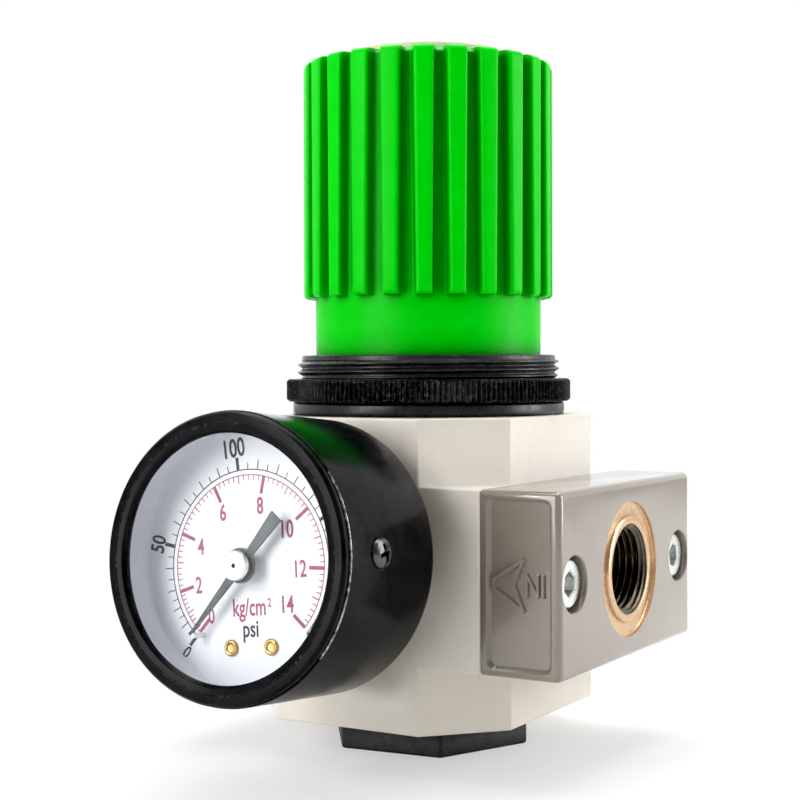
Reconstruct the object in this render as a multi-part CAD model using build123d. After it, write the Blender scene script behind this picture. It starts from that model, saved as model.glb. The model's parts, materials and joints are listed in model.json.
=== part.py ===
"""Modular air pressure regulator with a ribbed adjusting knob and a dial gauge.

Millimetres, +Z up along the regulating axis, origin at the centre of the hex
plug's bottom face. +X is the inlet side, -Y is the gauge side.
"""
from build123d import *
import os
from math import atan2, cos, degrees, hypot, radians, sin, sqrt

SIDES = (1, -1)

# ---- body ---------------------------------------------------------------
BODY_BOTTOM, BODY_TOP = 7.1, 63.9
PORT_Z = 35.5                       # port axis height
FACE_Y, FACE_HALF_X = 30.42, 15.27  # gauge face: distance and half width
SIDE_X, SIDE_HALF_Y = 27.34, 17.51  # port side face: distance and half width
BAND_X = 27.8                       # square middle band, where the plates join
BAND_HALF_Z = 16.25                 # half height of the band and plates
BAND_BOTTOM, BAND_TOP = PORT_Z - BAND_HALF_Z, PORT_Z + BAND_HALF_Z
BODY_EDGE_R = 0.7

# bores on the regulating axis, from the top down
TOP_BORE_R, LEDGE_Z = 24.0, 56.0
CHAMBER_R, CHAMBER_BOTTOM = 19.5, 48.4
UPPER_BORE_R, UPPER_BORE_BOTTOM = 8.5, 31.0
SEAT_BORE_R, SEAT_BORE_BOTTOM = 7.0, 25.0
LOWER_BORE_R = 14.0
PLUG_THREAD_R, PLUG_THREAD_TOP = 15.0, 15.0
DUCT_R = 6.5                        # cored ducts behind the port threads
DOWN_X, DOWN_R = 16.0, 4.5          # passage from the inlet to the lower chamber

# ---- port plates --------------------------------------------------------
PLATE_X = 43.3                      # outer face
PLATE_HALF_Y = 30.3
PLATE_EDGE_R = 1.2
PORT_R = 7.475                      # G3/8 minor radius
SPOT_R, SPOT_DEPTH = 12.5, 0.7      # annular recess round the port
LIP_R = 10.05                       # raised lip inside the recess
CHAMFER_R, CHAMFER_DEPTH = 8.4, 0.9
SEAL_R, SEAL_INNER_R, SEAL_DEPTH = 12.5, 10.5, 1.3
PANEL_DEPTH = 0.6                   # recessed panel on each plate end

# M5 cap screws at each end of a plate
SCREW_Y = 24.4
SCREW_R, SCREW_HEAD_R, SCREW_HEAD_H = 2.48, 4.25, 5.0
SCREW_RECESS = 1.0                  # head top below the plate face
SCREW_TIP_X = 17.8
SCREW_HEX_AF, SCREW_HEX_DEPTH = 4.0, 2.5

# ---- bonnet and panel nut -----------------------------------------------
SPIGOT_R = 23.95                    # bonnet end inside the top bore
FLANGE_R, FLANGE_TOP = 26.95, 66.4
THREAD_R, THREAD_TOP = 26.0, 75.5   # M52 x 1.5 panel thread
NUT_R, NUT_BORE_R, NUT_TOP = 28.19, 25.19, 70.9   # bore at the thread's minor radius
FREE_THREAD_Z = 71.2                # start of the full thread above the nut
RELIEF_R = NUT_BORE_R - 0.08        # bonnet surface inside the nut
GROOVE_R, GROOVE_BOTTOM = 22.9, 69.0
TOWER_R, TOWER_TOP, TOWER_ROOF = 19.4, 114.0, 108.0
SPRING_CHAMBER_R = 15.5

# ---- knob and spindle ---------------------------------------------------
SKIRT_R, SKIRT_INNER_R, SKIRT_BOTTOM = 22.38, 20.2, 69.6
RIB_BOTTOM, RIB_TOP = 86.7, 132.9
RIB_R, RIB_COUNT, RIB_WIDTH, RIB_TURN = 24.74, 24, 3.7, -2.2
KNOB_ROOF = 128.5
CAP_R, CAP_BOTTOM, CAP_TOP = 16.4, 131.4, 138.2
CAP_DOME_R = 46.0
SPINDLE_R, SPINDLE_AF = 5.0, 8.4
SPINDLE_FLANGE_TOP = 107.0
SPRING_NUT_BOTTOM, SPRING_NUT_TOP = 97.0, 103.0

# ---- diaphragm stack ----------------------------------------------------
DIAPHRAGM_T, DISH = 1.5, 3.0        # thickness, rim height above the centre
DIAPHRAGM_R = 23.85
CLAMP_R = 13.0                      # clamped centre of the diaphragm
CLAMP_PLATE_R = CLAMP_R - 0.2
DIAPHRAGM_BORE_R = 3.0
CENTRE_BOTTOM = LEDGE_Z - DISH      # underside of the diaphragm's centre
CENTRE_TOP = CENTRE_BOTTOM + DIAPHRAGM_T
SPRING_R, WIRE_R = 12.0, 1.5        # adjusting spring coil and wire radius
SPRING_TURNS = 7.0
SPRING_SEAT_H = 2.5                 # height of the spring's lower seat face
SPRING_SEAT_TOP = CENTRE_TOP + 5.5

# ---- inner valve and bottom plug ----------------------------------------
STEM_R = 1.5
DISC_R, DISC_BOTTOM, DISC_TOP = 7.2, 21.6, 23.8
POPPET_R, POPPET_BOTTOM = 8.0, 19.6
SEAT_HOLE_R = 4.5
VALVE_SPRING_R, VALVE_WIRE_R, VALVE_SPRING_TURNS = 5.0, 0.55, 4.5
HEX_R, HEX_TURN = 20.7, 35.8        # bottom plug: corner radius, corner angle
PLUG_FLOOR = 9.5
GUIDE_R = 3.45                      # bore for the poppet tail

# ---- gauge, in its own frame: x right, y up, z out of the body ----------
TILT = 5.16                         # gauge axis nose-up angle
GAUGE_Z = 38.73                     # gauge axis height at the body face
GAUGE_PORT_R = 5.72                 # G1/4 minor radius
GAUGE_DUCT_R = 2.6
THREAD_CLEARANCE = 0.02             # male thread below the port radius
CASE_R, CASE_BACK, CASE_RIM, CASE_WALL = 24.3, 8.9, 35.9, 1.6
BEZEL_R, BEZEL_INNER_R, BEZEL_TOP = 24.05, 20.5, 37.5
NECK_R, NECK_TOP = 23.3, 36.4       # case neck under the bezel
TRAY_R, TRAY_WALL, TRAY_TOP = 22.6, 0.5, 34.0
WINDOW_BOTTOM, WINDOW_TOP = 34.6, 36.2
CASE_SCREW_ANGLES = (4.9, 124.9, 244.9)
CASE_SCREW_Z = 27.1
DIAL_FACE = 29.0
DIAL_BACK = DIAL_FACE - 0.7
ARBOR = (-0.4, -1.3)                # pointer arbor, offset from the case axis
POINTER_ANGLE = -141.5              # rest direction, clockwise from up
POINTER_BOTTOM, POINTER_TOP = 31.2, 31.6
HUB_R = 2.0
STOP_PIN_R = 0.45
RIVET_HOLE_R = 0.72

# movement
REAR_PLATE_BOTTOM, REAR_PLATE_TOP = 21.0, 22.0
FRONT_PLATE_BOTTOM, FRONT_PLATE_TOP = 26.8, 27.8
PILLARS = ((-5.6, 3.4), (-5.6, -11.0), (9.4, 3.4))
GEAR_MODULE, PINION_TEETH, SECTOR_TEETH = 0.3, 10, 70
SECTOR_DIR = -45.0                  # from the arbor to the sector pivot
SECTOR_BOTTOM, SECTOR_TOP = 23.9, 24.9
TAIL_DIR, TAIL_LENGTH = -40.0, 4.2
LINK_BOTTOM, LINK_TOP = 23.0, 23.6

# Bourdon tube, a flattened C, and the link pivot at its tip
TUBE_R, TUBE_HALF_T = 17.6, 1.1
TUBE_START, TUBE_END = -100.0, -345.0
TIP_PIVOT_X, TIP_PIVOT_Y = 15.4, 2.4
TIP_BOTTOM, TIP_TOP = 14.6, 19.4


# ---- helpers ------------------------------------------------------------
def cyl(radius, z0, z1, x=0.0, y=0.0):
    return Pos(x, y, (z0 + z1) / 2) * Cylinder(radius, z1 - z0)


def ring(outer_r, inner_r, z0, z1, x=0.0, y=0.0):
    return cyl(outer_r, z0, z1, x, y) - cyl(inner_r, z0 - 0.5, z1 + 0.5, x, y)


def box(x0, x1, y0, y1, z0, z1):
    # each pair of bounds may come in either order
    centre = Pos((x0 + x1) / 2, (y0 + y1) / 2, (z0 + z1) / 2)
    return centre * Box(abs(x1 - x0), abs(y1 - y0), abs(z1 - z0))


def along_x(radius, x0, x1, y, z):
    return Pos((x0 + x1) / 2, y, z) * Rot(0, 90, 0) * Cylinder(radius, abs(x1 - x0))


def along_y(radius, y0, y1, x, z):
    return Pos(x, (y0 + y1) / 2, z) * Rot(-90, 0, 0) * Cylinder(radius, y1 - y0)


def polar(radius, angle, centre=(0.0, 0.0)):
    turn = radians(angle)
    return centre[0] + radius * cos(turn), centre[1] + radius * sin(turn)


def from_up(radius, clockwise):
    # point about the arbor, angle clockwise from up
    return polar(radius, 90.0 - clockwise, ARBOR)


def arc(radius, start, end, steps, centre=(0.0, 0.0)):
    return [polar(radius, start + (end - start) * i / steps, centre) for i in range(steps + 1)]


def prism(points, z0, z1):
    return Pos(0, 0, z0) * extrude(make_face(Polyline(*points, close=True)), z1 - z0)


def hexagon(corner_r, z0, z1, turn=0.0):
    return prism([polar(corner_r, turn + 60 * i) for i in range(6)], z0, z1)


def sector_ring(outer_r, inner_r, z0, z1, start, end, steps=40):
    return prism(arc(outer_r, start, end, steps) + arc(inner_r, end, start, steps), z0, z1)


def revolved(points):
    # points are (radius, z), revolved about Z
    face = make_face(Polyline(*[(radius, 0, z) for radius, z in points], close=True))
    return revolve(face, Axis.Z, 360)


def soften(shape, edges, radius):
    # guards against a fillet too large for the kernel: a smaller one is tried,
    # and the shape stays sharp if none fits
    for size in (radius, radius * 0.6, radius * 0.3):
        try:
            return fillet(edges, size)
        except Exception:
            continue
    return shape


def coil(radius, wire_r, z0, z1, turns):
    # helical wire, its centre line one wire radius inside z0..z1
    height = z1 - z0 - 2 * wire_r
    path = Pos(0, 0, z0 + wire_r) * Helix(height / turns, height, radius)
    section = Plane(origin=path @ 0, z_dir=path % 0) * Circle(wire_r)
    return sweep(section, path=path, is_frenet=True)


GAUGE_FRAME = Plane(origin=(0, -FACE_Y, GAUGE_Z), x_dir=(1, 0, 0),
                    z_dir=(0, -cos(radians(TILT)), sin(radians(TILT)))).location


# ---- body casting -------------------------------------------------------
def is_band_corner(edge):
    # inside corner where the band steps out from the octagon
    centre = edge.center()
    return (abs(abs(centre.Z - PORT_Z) - BAND_HALF_Z) < 0.01
            and abs(centre.X) < SIDE_X + 0.1
            and abs(centre.Y) < FACE_Y - 0.1)


def make_body():
    octagon = [(FACE_HALF_X, -FACE_Y), (SIDE_X, -SIDE_HALF_Y),
               (SIDE_X, SIDE_HALF_Y), (FACE_HALF_X, FACE_Y),
               (-FACE_HALF_X, FACE_Y), (-SIDE_X, SIDE_HALF_Y),
               (-SIDE_X, -SIDE_HALF_Y), (-FACE_HALF_X, -FACE_Y)]
    body = prism(octagon, BODY_BOTTOM, BODY_TOP)
    body += box(-BAND_X, BAND_X, -FACE_Y, FACE_Y, BAND_BOTTOM, BAND_TOP)
    body = soften(body, [e for e in body.edges() if not is_band_corner(e)], BODY_EDGE_R)
    bores = (   # radius, bottom, top
        (TOP_BORE_R, LEDGE_Z, BODY_TOP + 1),
        (CHAMBER_R, CHAMBER_BOTTOM, LEDGE_Z + 1),
        (UPPER_BORE_R, UPPER_BORE_BOTTOM, CHAMBER_BOTTOM + 1),
        (SEAT_BORE_R, SEAT_BORE_BOTTOM - 1, UPPER_BORE_BOTTOM + 1),
        (LOWER_BORE_R, PLUG_THREAD_TOP - 1, SEAT_BORE_BOTTOM),
        (PLUG_THREAD_R, BODY_BOTTOM - 1, PLUG_THREAD_TOP),
    )
    for radius, bottom, top in bores:
        body -= cyl(radius, bottom, top)
    # inlet and outlet ducts
    body -= along_x(DUCT_R, 12.5, BAND_X + 1, 0, PORT_Z)
    body -= along_x(DUCT_R, -BAND_X - 1, -5.0, 0, PORT_Z)
    body -= cyl(DOWN_R, 18.0, PORT_Z, DOWN_X, 0)
    # gauge port: spot face, thread, duct
    body -= GAUGE_FRAME * cyl(9.5, -0.9, 3.0)
    body -= GAUGE_FRAME * cyl(GAUGE_PORT_R, -11.0, 3.0)
    body -= GAUGE_FRAME * cyl(GAUGE_DUCT_R, -24.0, -10.0)
    # level port in the +Y face
    body -= along_y(GAUGE_PORT_R, 19.4, FACE_Y + 1, 0, GAUGE_Z)
    body -= along_y(GAUGE_DUCT_R, 6.5, 20.0, 0, GAUGE_Z)
    for side in SIDES:
        for end in SIDES:
            body -= along_x(2.5, side * (SCREW_TIP_X - 1.5), side * (BAND_X + 1),
                            end * SCREW_Y, PORT_Z)
    return body


# ---- port plates, seals, screws -----------------------------------------
def make_arrow(side, height):
    # outlined arrowhead pointing along -x on the inlet side, +x on the outlet side
    tip, back, notch = (30.3, 36.0, 34.2) if side > 0 else (38.0, 32.3, 34.1)
    head = [(tip, 0), (back, 4.2), (notch, 0), (back, -4.2)]
    inner = [(tip + 0.9 * side, 0), (back - 0.6 * side, 2.9),
             (notch - 0.5 * side, 0), (back - 0.6 * side, -2.9)]
    return prism(head, 0, height) - prism(inner, -1, height + 1)


def make_port_plate(side):
    # built on +X, then turned round for the outlet (side -1)
    plate = box(BAND_X, PLATE_X, -PLATE_HALF_Y, PLATE_HALF_Y, BAND_BOTTOM, BAND_TOP)
    outer_edges = [e for e in plate.edges() if e.center().X > BAND_X + 0.1]
    plate = soften(plate, outer_edges, PLATE_EDGE_R)
    plate -= along_x(PORT_R, BAND_X - 1, PLATE_X + 1, 0, PORT_Z)
    plate -= (along_x(SPOT_R, PLATE_X - SPOT_DEPTH, PLATE_X + 1, 0, PORT_Z)
              - along_x(LIP_R, PLATE_X - 2, PLATE_X + 2, 0, PORT_Z))
    chamfer_x0, chamfer_x1 = PLATE_X - CHAMFER_DEPTH, PLATE_X + 0.1
    plate -= (Pos((chamfer_x0 + chamfer_x1) / 2, 0, PORT_Z) * Rot(0, 90, 0)
              * Cone(PORT_R, CHAMFER_R + 0.1, chamfer_x1 - chamfer_x0))
    # seal groove in the joint face
    plate -= (along_x(SEAL_R + 0.1, BAND_X - 1, BAND_X + SEAL_DEPTH + 0.1, 0, PORT_Z)
              - along_x(SEAL_INNER_R - 0.1, BAND_X - 2, BAND_X + 2, 0, PORT_Z))
    for end in SIDES:
        plate -= along_x(2.75, BAND_X - 1, PLATE_X + 1, end * SCREW_Y, PORT_Z)
        plate -= along_x(4.95, PLATE_X - SCREW_RECESS - SCREW_HEAD_H, PLATE_X + 1,
                         end * SCREW_Y, PORT_Z)
    # recessed panel on each end face, with a raised flow arrow
    for end in (-1, 1):
        plate -= box(BAND_X + 1.6, PLATE_X - 1.6,
                     end * (PLATE_HALF_Y - PANEL_DEPTH), end * (PLATE_HALF_Y + 1),
                     BAND_BOTTOM + 1.7, BAND_TOP - 1.7)
        arrow_y0, arrow_y1 = sorted((end * (PLATE_HALF_Y - 0.7), end * (PLATE_HALF_Y - 0.1)))
        arrow = make_arrow(side, arrow_y1 - arrow_y0)
        plate += Pos(0, arrow_y1, PORT_Z) * Rot(90, 0, 0) * arrow
    return plate if side > 0 else Rot(0, 0, 180) * plate


def make_plate_seal():
    return (along_x(SEAL_R, BAND_X + 0.01, BAND_X + SEAL_DEPTH, 0, PORT_Z)
            - along_x(SEAL_INNER_R, BAND_X - 1, BAND_X + 2, 0, PORT_Z))


def make_cap_screw(y):
    top_x = PLATE_X - SCREW_RECESS
    under_head_x = top_x - SCREW_HEAD_H
    screw = along_x(SCREW_HEAD_R, under_head_x, top_x, y, PORT_Z)
    screw += along_x(SCREW_R, SCREW_TIP_X, under_head_x + 0.01, y, PORT_Z)
    socket_hex = hexagon(SCREW_HEX_AF / sqrt(3), -0.1, SCREW_HEX_DEPTH + 0.1)
    screw -= Pos(top_x - SCREW_HEX_DEPTH, y, PORT_Z) * Rot(0, 90, 0) * socket_hex
    return screw


# ---- bonnet, panel nut --------------------------------------------------
def make_bonnet():
    chamber_bottom = 63.5
    diaphragm_top = LEDGE_Z + DIAPHRAGM_T
    bonnet = revolved([
        (SPRING_CHAMBER_R, chamber_bottom), (CHAMBER_R, chamber_bottom),
        (CHAMBER_R, diaphragm_top), (SPIGOT_R, diaphragm_top), (SPIGOT_R, BODY_TOP),
        (FLANGE_R, BODY_TOP), (FLANGE_R, FLANGE_TOP),
        (RELIEF_R, FLANGE_TOP), (RELIEF_R, FREE_THREAD_Z),
        (THREAD_R, FREE_THREAD_Z), (THREAD_R, THREAD_TOP - 0.8),
        (THREAD_R - 0.8, THREAD_TOP), (GROOVE_R, THREAD_TOP),
        (GROOVE_R, GROOVE_BOTTOM), (TOWER_R, GROOVE_BOTTOM),
        (TOWER_R, TOWER_TOP - 3.0), (TOWER_R - 3.0, TOWER_TOP),
        (5.0, TOWER_TOP), (5.0, TOWER_ROOF), (SPRING_CHAMBER_R, TOWER_ROOF)])
    # keys that stop the spring nut turning
    for side in SIDES:
        bonnet += box(side * 14.3, side * (SPRING_CHAMBER_R + 0.6), -1.5, 1.5,
                      66.0, TOWER_ROOF)
    return bonnet


def make_panel_nut():
    nut = ring(NUT_R, NUT_BORE_R, FLANGE_TOP + 0.05, NUT_TOP)
    circles = nut.edges().filter_by(GeomType.CIRCLE)
    return soften(nut, circles.filter_by(lambda edge: edge.radius > NUT_R - 0.1), 0.35)


# ---- knob and cap -------------------------------------------------------
def make_knob():
    knob = cyl(SKIRT_R, SKIRT_BOTTOM, RIB_TOP)
    for i in range(RIB_COUNT):
        rib = box(19.5, RIB_R, -RIB_WIDTH / 2, RIB_WIDTH / 2, RIB_BOTTOM, RIB_TOP)
        knob += Rot(0, 0, 360.0 / RIB_COUNT * i + RIB_TURN) * rib
    # envelope that bevels the rib ends
    knob = knob & revolved([
        (0, SKIRT_BOTTOM), (SKIRT_R, SKIRT_BOTTOM), (SKIRT_R, RIB_BOTTOM),
        (RIB_R - 0.1, RIB_BOTTOM), (RIB_R, RIB_BOTTOM + 0.3),
        (RIB_R, RIB_TOP - 1.2), (RIB_R - 1.2, RIB_TOP), (0, RIB_TOP)])
    # crown
    knob += revolved([
        (0, RIB_TOP - 0.5), (20.6, RIB_TOP - 0.5), (20.0, RIB_TOP + 0.8),
        (17.2, RIB_TOP + 2.6), (0, RIB_TOP + 2.6)])
    knob -= cyl(SKIRT_INNER_R, SKIRT_BOTTOM - 1, KNOB_ROOF)
    # hub with the spindle's hex socket
    knob += cyl(8.0, 116.5, KNOB_ROOF + 0.5)
    knob -= hexagon((SPINDLE_AF + 0.1) / sqrt(3), 116.0, 128.2)
    knob -= cyl(CAP_R + 0.05, CAP_BOTTOM, 140.0)
    return knob


def make_knob_cap():
    dome = Pos(0, 0, CAP_TOP - CAP_DOME_R) * Sphere(CAP_DOME_R)
    return cyl(CAP_R, CAP_BOTTOM, CAP_TOP + 0.5) & dome


# ---- spindle, spring nut ------------------------------------------------
def make_spindle():
    spindle = cyl(SPINDLE_R, 84.0, 104.2)
    spindle += cyl(7.5, 104.0, SPINDLE_FLANGE_TOP)
    spindle += cyl(4.95, SPINDLE_FLANGE_TOP - 0.1, 115.3)
    spindle += hexagon(SPINDLE_AF / sqrt(3), 115.2, 127.0)
    spindle -= ring(6.0, 4.2, TOWER_TOP + 0.1, TOWER_TOP + 1.1)
    return spindle


def make_spring_nut():
    bore_r = SPINDLE_R + 0.05
    nut = ring(15.3, bore_r, SPRING_NUT_BOTTOM, SPRING_NUT_TOP)
    for side in SIDES:
        nut -= box(side * 14.15, side * 16.0, -1.6, 1.6,
                   SPRING_NUT_BOTTOM - 1, SPRING_NUT_TOP + 1)
    nut += ring(9.8, bore_r, SPRING_NUT_BOTTOM - 3, SPRING_NUT_BOTTOM + 0.5)
    return nut


# ---- diaphragm stack ----------------------------------------------------
def make_diaphragm():
    return revolved([
        (DIAPHRAGM_BORE_R, CENTRE_BOTTOM), (CLAMP_R, CENTRE_BOTTOM),
        (CHAMBER_R, LEDGE_Z), (DIAPHRAGM_R, LEDGE_Z),
        (DIAPHRAGM_R, LEDGE_Z + DIAPHRAGM_T), (CHAMBER_R, LEDGE_Z + DIAPHRAGM_T),
        (CLAMP_R, CENTRE_TOP), (DIAPHRAGM_BORE_R, CENTRE_TOP)])


def make_lower_spring_seat():
    rim_bottom, rim_top = CENTRE_TOP + 1.3, CENTRE_TOP + SPRING_SEAT_H
    return revolved([
        (DIAPHRAGM_BORE_R, CENTRE_TOP), (CLAMP_PLATE_R, CENTRE_TOP),
        (CLAMP_PLATE_R, rim_bottom), (14.2, rim_bottom), (14.2, rim_top), (9.8, rim_top),
        (9.8, SPRING_SEAT_TOP), (DIAPHRAGM_BORE_R, SPRING_SEAT_TOP)])


def make_diaphragm_plate():
    return (ring(CLAMP_PLATE_R, 1.0, CENTRE_BOTTOM - 2.0, CENTRE_BOTTOM)
            + ring(DIAPHRAGM_BORE_R, 1.0, CENTRE_BOTTOM - 0.5, CENTRE_TOP + 8.3))


def make_diaphragm_nut():
    return (hexagon(5.2, SPRING_SEAT_TOP, SPRING_SEAT_TOP + 2.5)
            - cyl(DIAPHRAGM_BORE_R, SPRING_SEAT_TOP - 0.5, SPRING_SEAT_TOP + 3.5))


def make_adjusting_spring():
    return coil(SPRING_R, WIRE_R, CENTRE_TOP + SPRING_SEAT_H + 0.02,
                SPRING_NUT_BOTTOM - 0.02, SPRING_TURNS)


# ---- inner valve --------------------------------------------------------
def make_valve_seat():
    seat = ring(SEAT_BORE_R - 0.02, SEAT_HOLE_R, SEAT_BORE_BOTTOM - 0.2, UPPER_BORE_BOTTOM)
    seat += ring(7.8, SEAT_HOLE_R, UPPER_BORE_BOTTOM, UPPER_BORE_BOTTOM + 1.2)
    seat += ring(5.6, SEAT_HOLE_R, SEAT_BORE_BOTTOM - 1.2, SEAT_BORE_BOTTOM)
    return seat


def make_valve_poppet():
    poppet = ring(POPPET_R, STEM_R, POPPET_BOTTOM, DISC_BOTTOM)
    poppet += ring(POPPET_R, DISC_R, 21.0, 22.4)
    poppet += ring(3.4, STEM_R, 10.4, POPPET_BOTTOM + 0.2)
    return poppet


def make_valve_stem():
    tip_z = CENTRE_BOTTOM - 2.02    # just under the diaphragm plate
    taper_z = tip_z - 0.48
    taper = Pos(0, 0, (taper_z + tip_z) / 2) * Cone(STEM_R, 0.8, tip_z - taper_z)
    return cyl(STEM_R, 12.0, taper_z) + cyl(2.6, DISC_TOP, 25.2) + taper


def make_valve_spring():
    return coil(VALVE_SPRING_R, VALVE_WIRE_R, PLUG_FLOOR + 0.02, POPPET_BOTTOM - 0.02,
                VALVE_SPRING_TURNS)


# ---- bottom plug --------------------------------------------------------
def make_bottom_plug():
    plug = hexagon(HEX_R, 0.0, BODY_BOTTOM, HEX_TURN - 90.0)
    plug = soften(plug, plug.edges().filter_by(Axis.Z), 0.8)
    plug = soften(plug, plug.faces().sort_by(Axis.Z)[0].edges(), 0.6)
    plug += cyl(PLUG_THREAD_R - 0.02, BODY_BOTTOM - 0.1, 13.0)
    plug -= cyl(12.0, PLUG_FLOOR, 14.0)
    # collar round the spring, then the tube that guides the poppet tail
    plug += ring(7.6, 6.4, 9.0, 12.0)
    plug += ring(4.2, GUIDE_R, 9.0, 14.5)
    plug -= cyl(GUIDE_R, 5.0, 15.0)
    plug -= ring(15.5, 13.0, 10.0, 12.0)
    return plug


# ---- rear gauge port plug, on the +Y face -------------------------------
def make_rear_port_plug():
    thread_r = GAUGE_PORT_R - THREAD_CLEARANCE
    plug = (along_y(thread_r, 21.0, FACE_Y, 0, GAUGE_Z)
            + along_y(8.5, FACE_Y + 0.9, FACE_Y + 3.9, 0, GAUGE_Z))
    plug += along_y(thread_r, FACE_Y - 0.1, FACE_Y + 1.0, 0, GAUGE_Z)
    socket_hex = hexagon(6.0 / sqrt(3), 0.0, 4.0)
    plug -= Pos(0, FACE_Y + 4.0, GAUGE_Z) * Rot(90, 0, 0) * socket_hex
    return plug


def make_rear_plug_seal():
    return (along_y(8.0, FACE_Y, FACE_Y + 0.9, 0, GAUGE_Z)
            - along_y(GAUGE_PORT_R, FACE_Y - 1, FACE_Y + 2, 0, GAUGE_Z))


# ---- gauge case, bezel and screws ---------------------------------------
def make_gauge_case():
    inner_r = CASE_R - CASE_WALL
    case = revolved([
        (6.0, CASE_BACK), (CASE_R - 1.7, CASE_BACK), (CASE_R - 0.5, CASE_BACK + 0.5),
        (CASE_R, CASE_BACK + 1.7), (CASE_R, CASE_RIM),
        (NECK_R, CASE_RIM), (NECK_R, NECK_TOP), (inner_r, NECK_TOP),
        (inner_r, CASE_BACK + 2.6), (inner_r - 1.2, CASE_BACK + 1.5),
        (6.0, CASE_BACK + 1.5)])
    for angle in CASE_SCREW_ANGLES:
        for radius, depth in ((1.25, 4.0), (2.3, 0.4)):     # hole, counterbore
            case -= Rot(0, 0, angle) * along_x(radius, CASE_R - depth, CASE_R + depth,
                                               0, CASE_SCREW_Z)
    return case


def make_bezel():
    neck_r, seat_z = NECK_R + 0.02, CASE_RIM + 0.02
    return revolved([
        (neck_r, seat_z), (BEZEL_R, seat_z), (BEZEL_R, 36.9),
        (BEZEL_R - 0.6, BEZEL_TOP), (22.2, BEZEL_TOP),
        (BEZEL_INNER_R, 36.7), (BEZEL_INNER_R, WINDOW_TOP), (TRAY_R, WINDOW_TOP),
        (TRAY_R, NECK_TOP + 0.02), (neck_r, NECK_TOP + 0.02)])


def make_case_screw(angle):
    turn = Rot(0, 0, angle)
    slot_x0, slot_x1 = CASE_R + 0.1, CASE_R + 2
    screw = turn * along_x(2.1, CASE_R - 0.4, CASE_R + 0.7, 0, CASE_SCREW_Z)
    screw += turn * along_x(1.2, CASE_R - 1.55, CASE_R - 0.35, 0, CASE_SCREW_Z)
    # cross slot
    for half_y, half_z in ((1.3, 0.25), (0.25, 1.3)):
        screw -= turn * box(slot_x0, slot_x1, -half_y, half_y,
                            CASE_SCREW_Z - half_z, CASE_SCREW_Z + half_z)
    return screw


# ---- dial, rivets, stop pin, pointer ------------------------------------
RIVET_POINTS = [from_up(14.2, clockwise) for clockwise in (-169.3, 157.2)]
STOP_PIN = from_up(15.1, POINTER_ANGLE - 2.75)


def make_dial():
    dial = cyl(TRAY_R, DIAL_BACK, DIAL_FACE)
    dial += ring(TRAY_R, TRAY_R - TRAY_WALL, DIAL_BACK, TRAY_TOP)
    holes = [(1.2, ARBOR), *[(RIVET_HOLE_R, point) for point in RIVET_POINTS],
             (STOP_PIN_R, STOP_PIN)]
    for radius, point in holes:
        dial -= cyl(radius, DIAL_FACE - 2, DIAL_FACE + 1, *point)
    return dial


def make_stop_pin():
    return (cyl(STOP_PIN_R, DIAL_BACK, 31.9, *STOP_PIN)
            + cyl(0.75, DIAL_BACK - 0.5, DIAL_BACK, *STOP_PIN))


def make_rivet(point):
    head = cyl(1.5, -0.2, 0.45) & (Pos(0, 0, -1.7) * Sphere(2.35))
    return (cyl(0.7, FRONT_PLATE_BOTTOM, DIAL_FACE, *point)
            + Pos(*point, DIAL_FACE + 0.2) * head)


def make_pointer():
    # (along, across) from the arbor, tip first
    outline = [(15.6, 0.22), (15.6, -0.22), (2.0, -0.80), (-2.0, -0.70),
               (-10.9, -1.23), (-10.9, 1.23), (-2.0, 0.70), (2.0, 0.80)]
    pointer = prism(outline, POINTER_BOTTOM, POINTER_TOP)
    pointer = Pos(*ARBOR, 0) * Rot(0, 0, 90.0 - POINTER_ANGLE) * pointer
    pointer += cyl(3.0, POINTER_BOTTOM, POINTER_TOP, *ARBOR)
    pointer -= cyl(HUB_R + 0.02, 31, 32, *ARBOR)
    return pointer


def make_pointer_hub():
    hub = cyl(HUB_R, 30.4, 32.4, *ARBOR) + cyl(2.45, 32.4, 33.4, *ARBOR)
    return hub - cyl(0.71, 30.0, 33.0, *ARBOR)


# ---- gauge movement -----------------------------------------------------
SECTOR_PIVOT = polar(GEAR_MODULE * (PINION_TEETH + SECTOR_TEETH) / 2, SECTOR_DIR, ARBOR)
TAIL_PIVOT = polar(TAIL_LENGTH, TAIL_DIR, SECTOR_PIVOT)


def pivot_holes(plate, z0, z1):
    plate -= cyl(0.75, z0, z1, *ARBOR)
    plate -= cyl(0.85, z0, z1, *SECTOR_PIVOT)
    return plate


def make_front_plate():
    # carries the dial
    plate = box(-7.0, 11.0, -17.2, 5.0, FRONT_PLATE_BOTTOM, FRONT_PLATE_TOP)
    plate = pivot_holes(plate, 26, 29)
    for point in RIVET_POINTS:
        plate -= cyl(RIVET_HOLE_R, 26, 29, *point)
    return plate


def make_rear_plate():
    # sits on the socket block
    plate = box(-7.0, 11.0, -12.5, 5.0, REAR_PLATE_BOTTOM, REAR_PLATE_TOP)
    return pivot_holes(plate, 20, 23)


def gear_outline(teeth, first_angle, count, centre):
    # trapezoid teeth, centred on first_angle + i * pitch
    pitch_r = GEAR_MODULE * teeth / 2
    tip_r, root_r = pitch_r + GEAR_MODULE, pitch_r - 1.25 * GEAR_MODULE
    pitch = 360.0 / teeth
    tooth = pitch * 0.45            # a little under half a pitch, for backlash
    flanks = ((root_r, -0.80), (pitch_r, -0.5), (tip_r, -0.24),
              (tip_r, 0.24), (pitch_r, 0.5), (root_r, 0.80))
    return [polar(radius, first_angle + i * pitch + offset * tooth, centre)
            for i in range(count) for radius, offset in flanks]


def make_pinion_shaft():
    teeth = gear_outline(PINION_TEETH, SECTOR_DIR + 18.0, PINION_TEETH, ARBOR)
    return cyl(0.7, 21.05, 33.0, *ARBOR) + prism(teeth, 23.4, 25.4)


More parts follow.
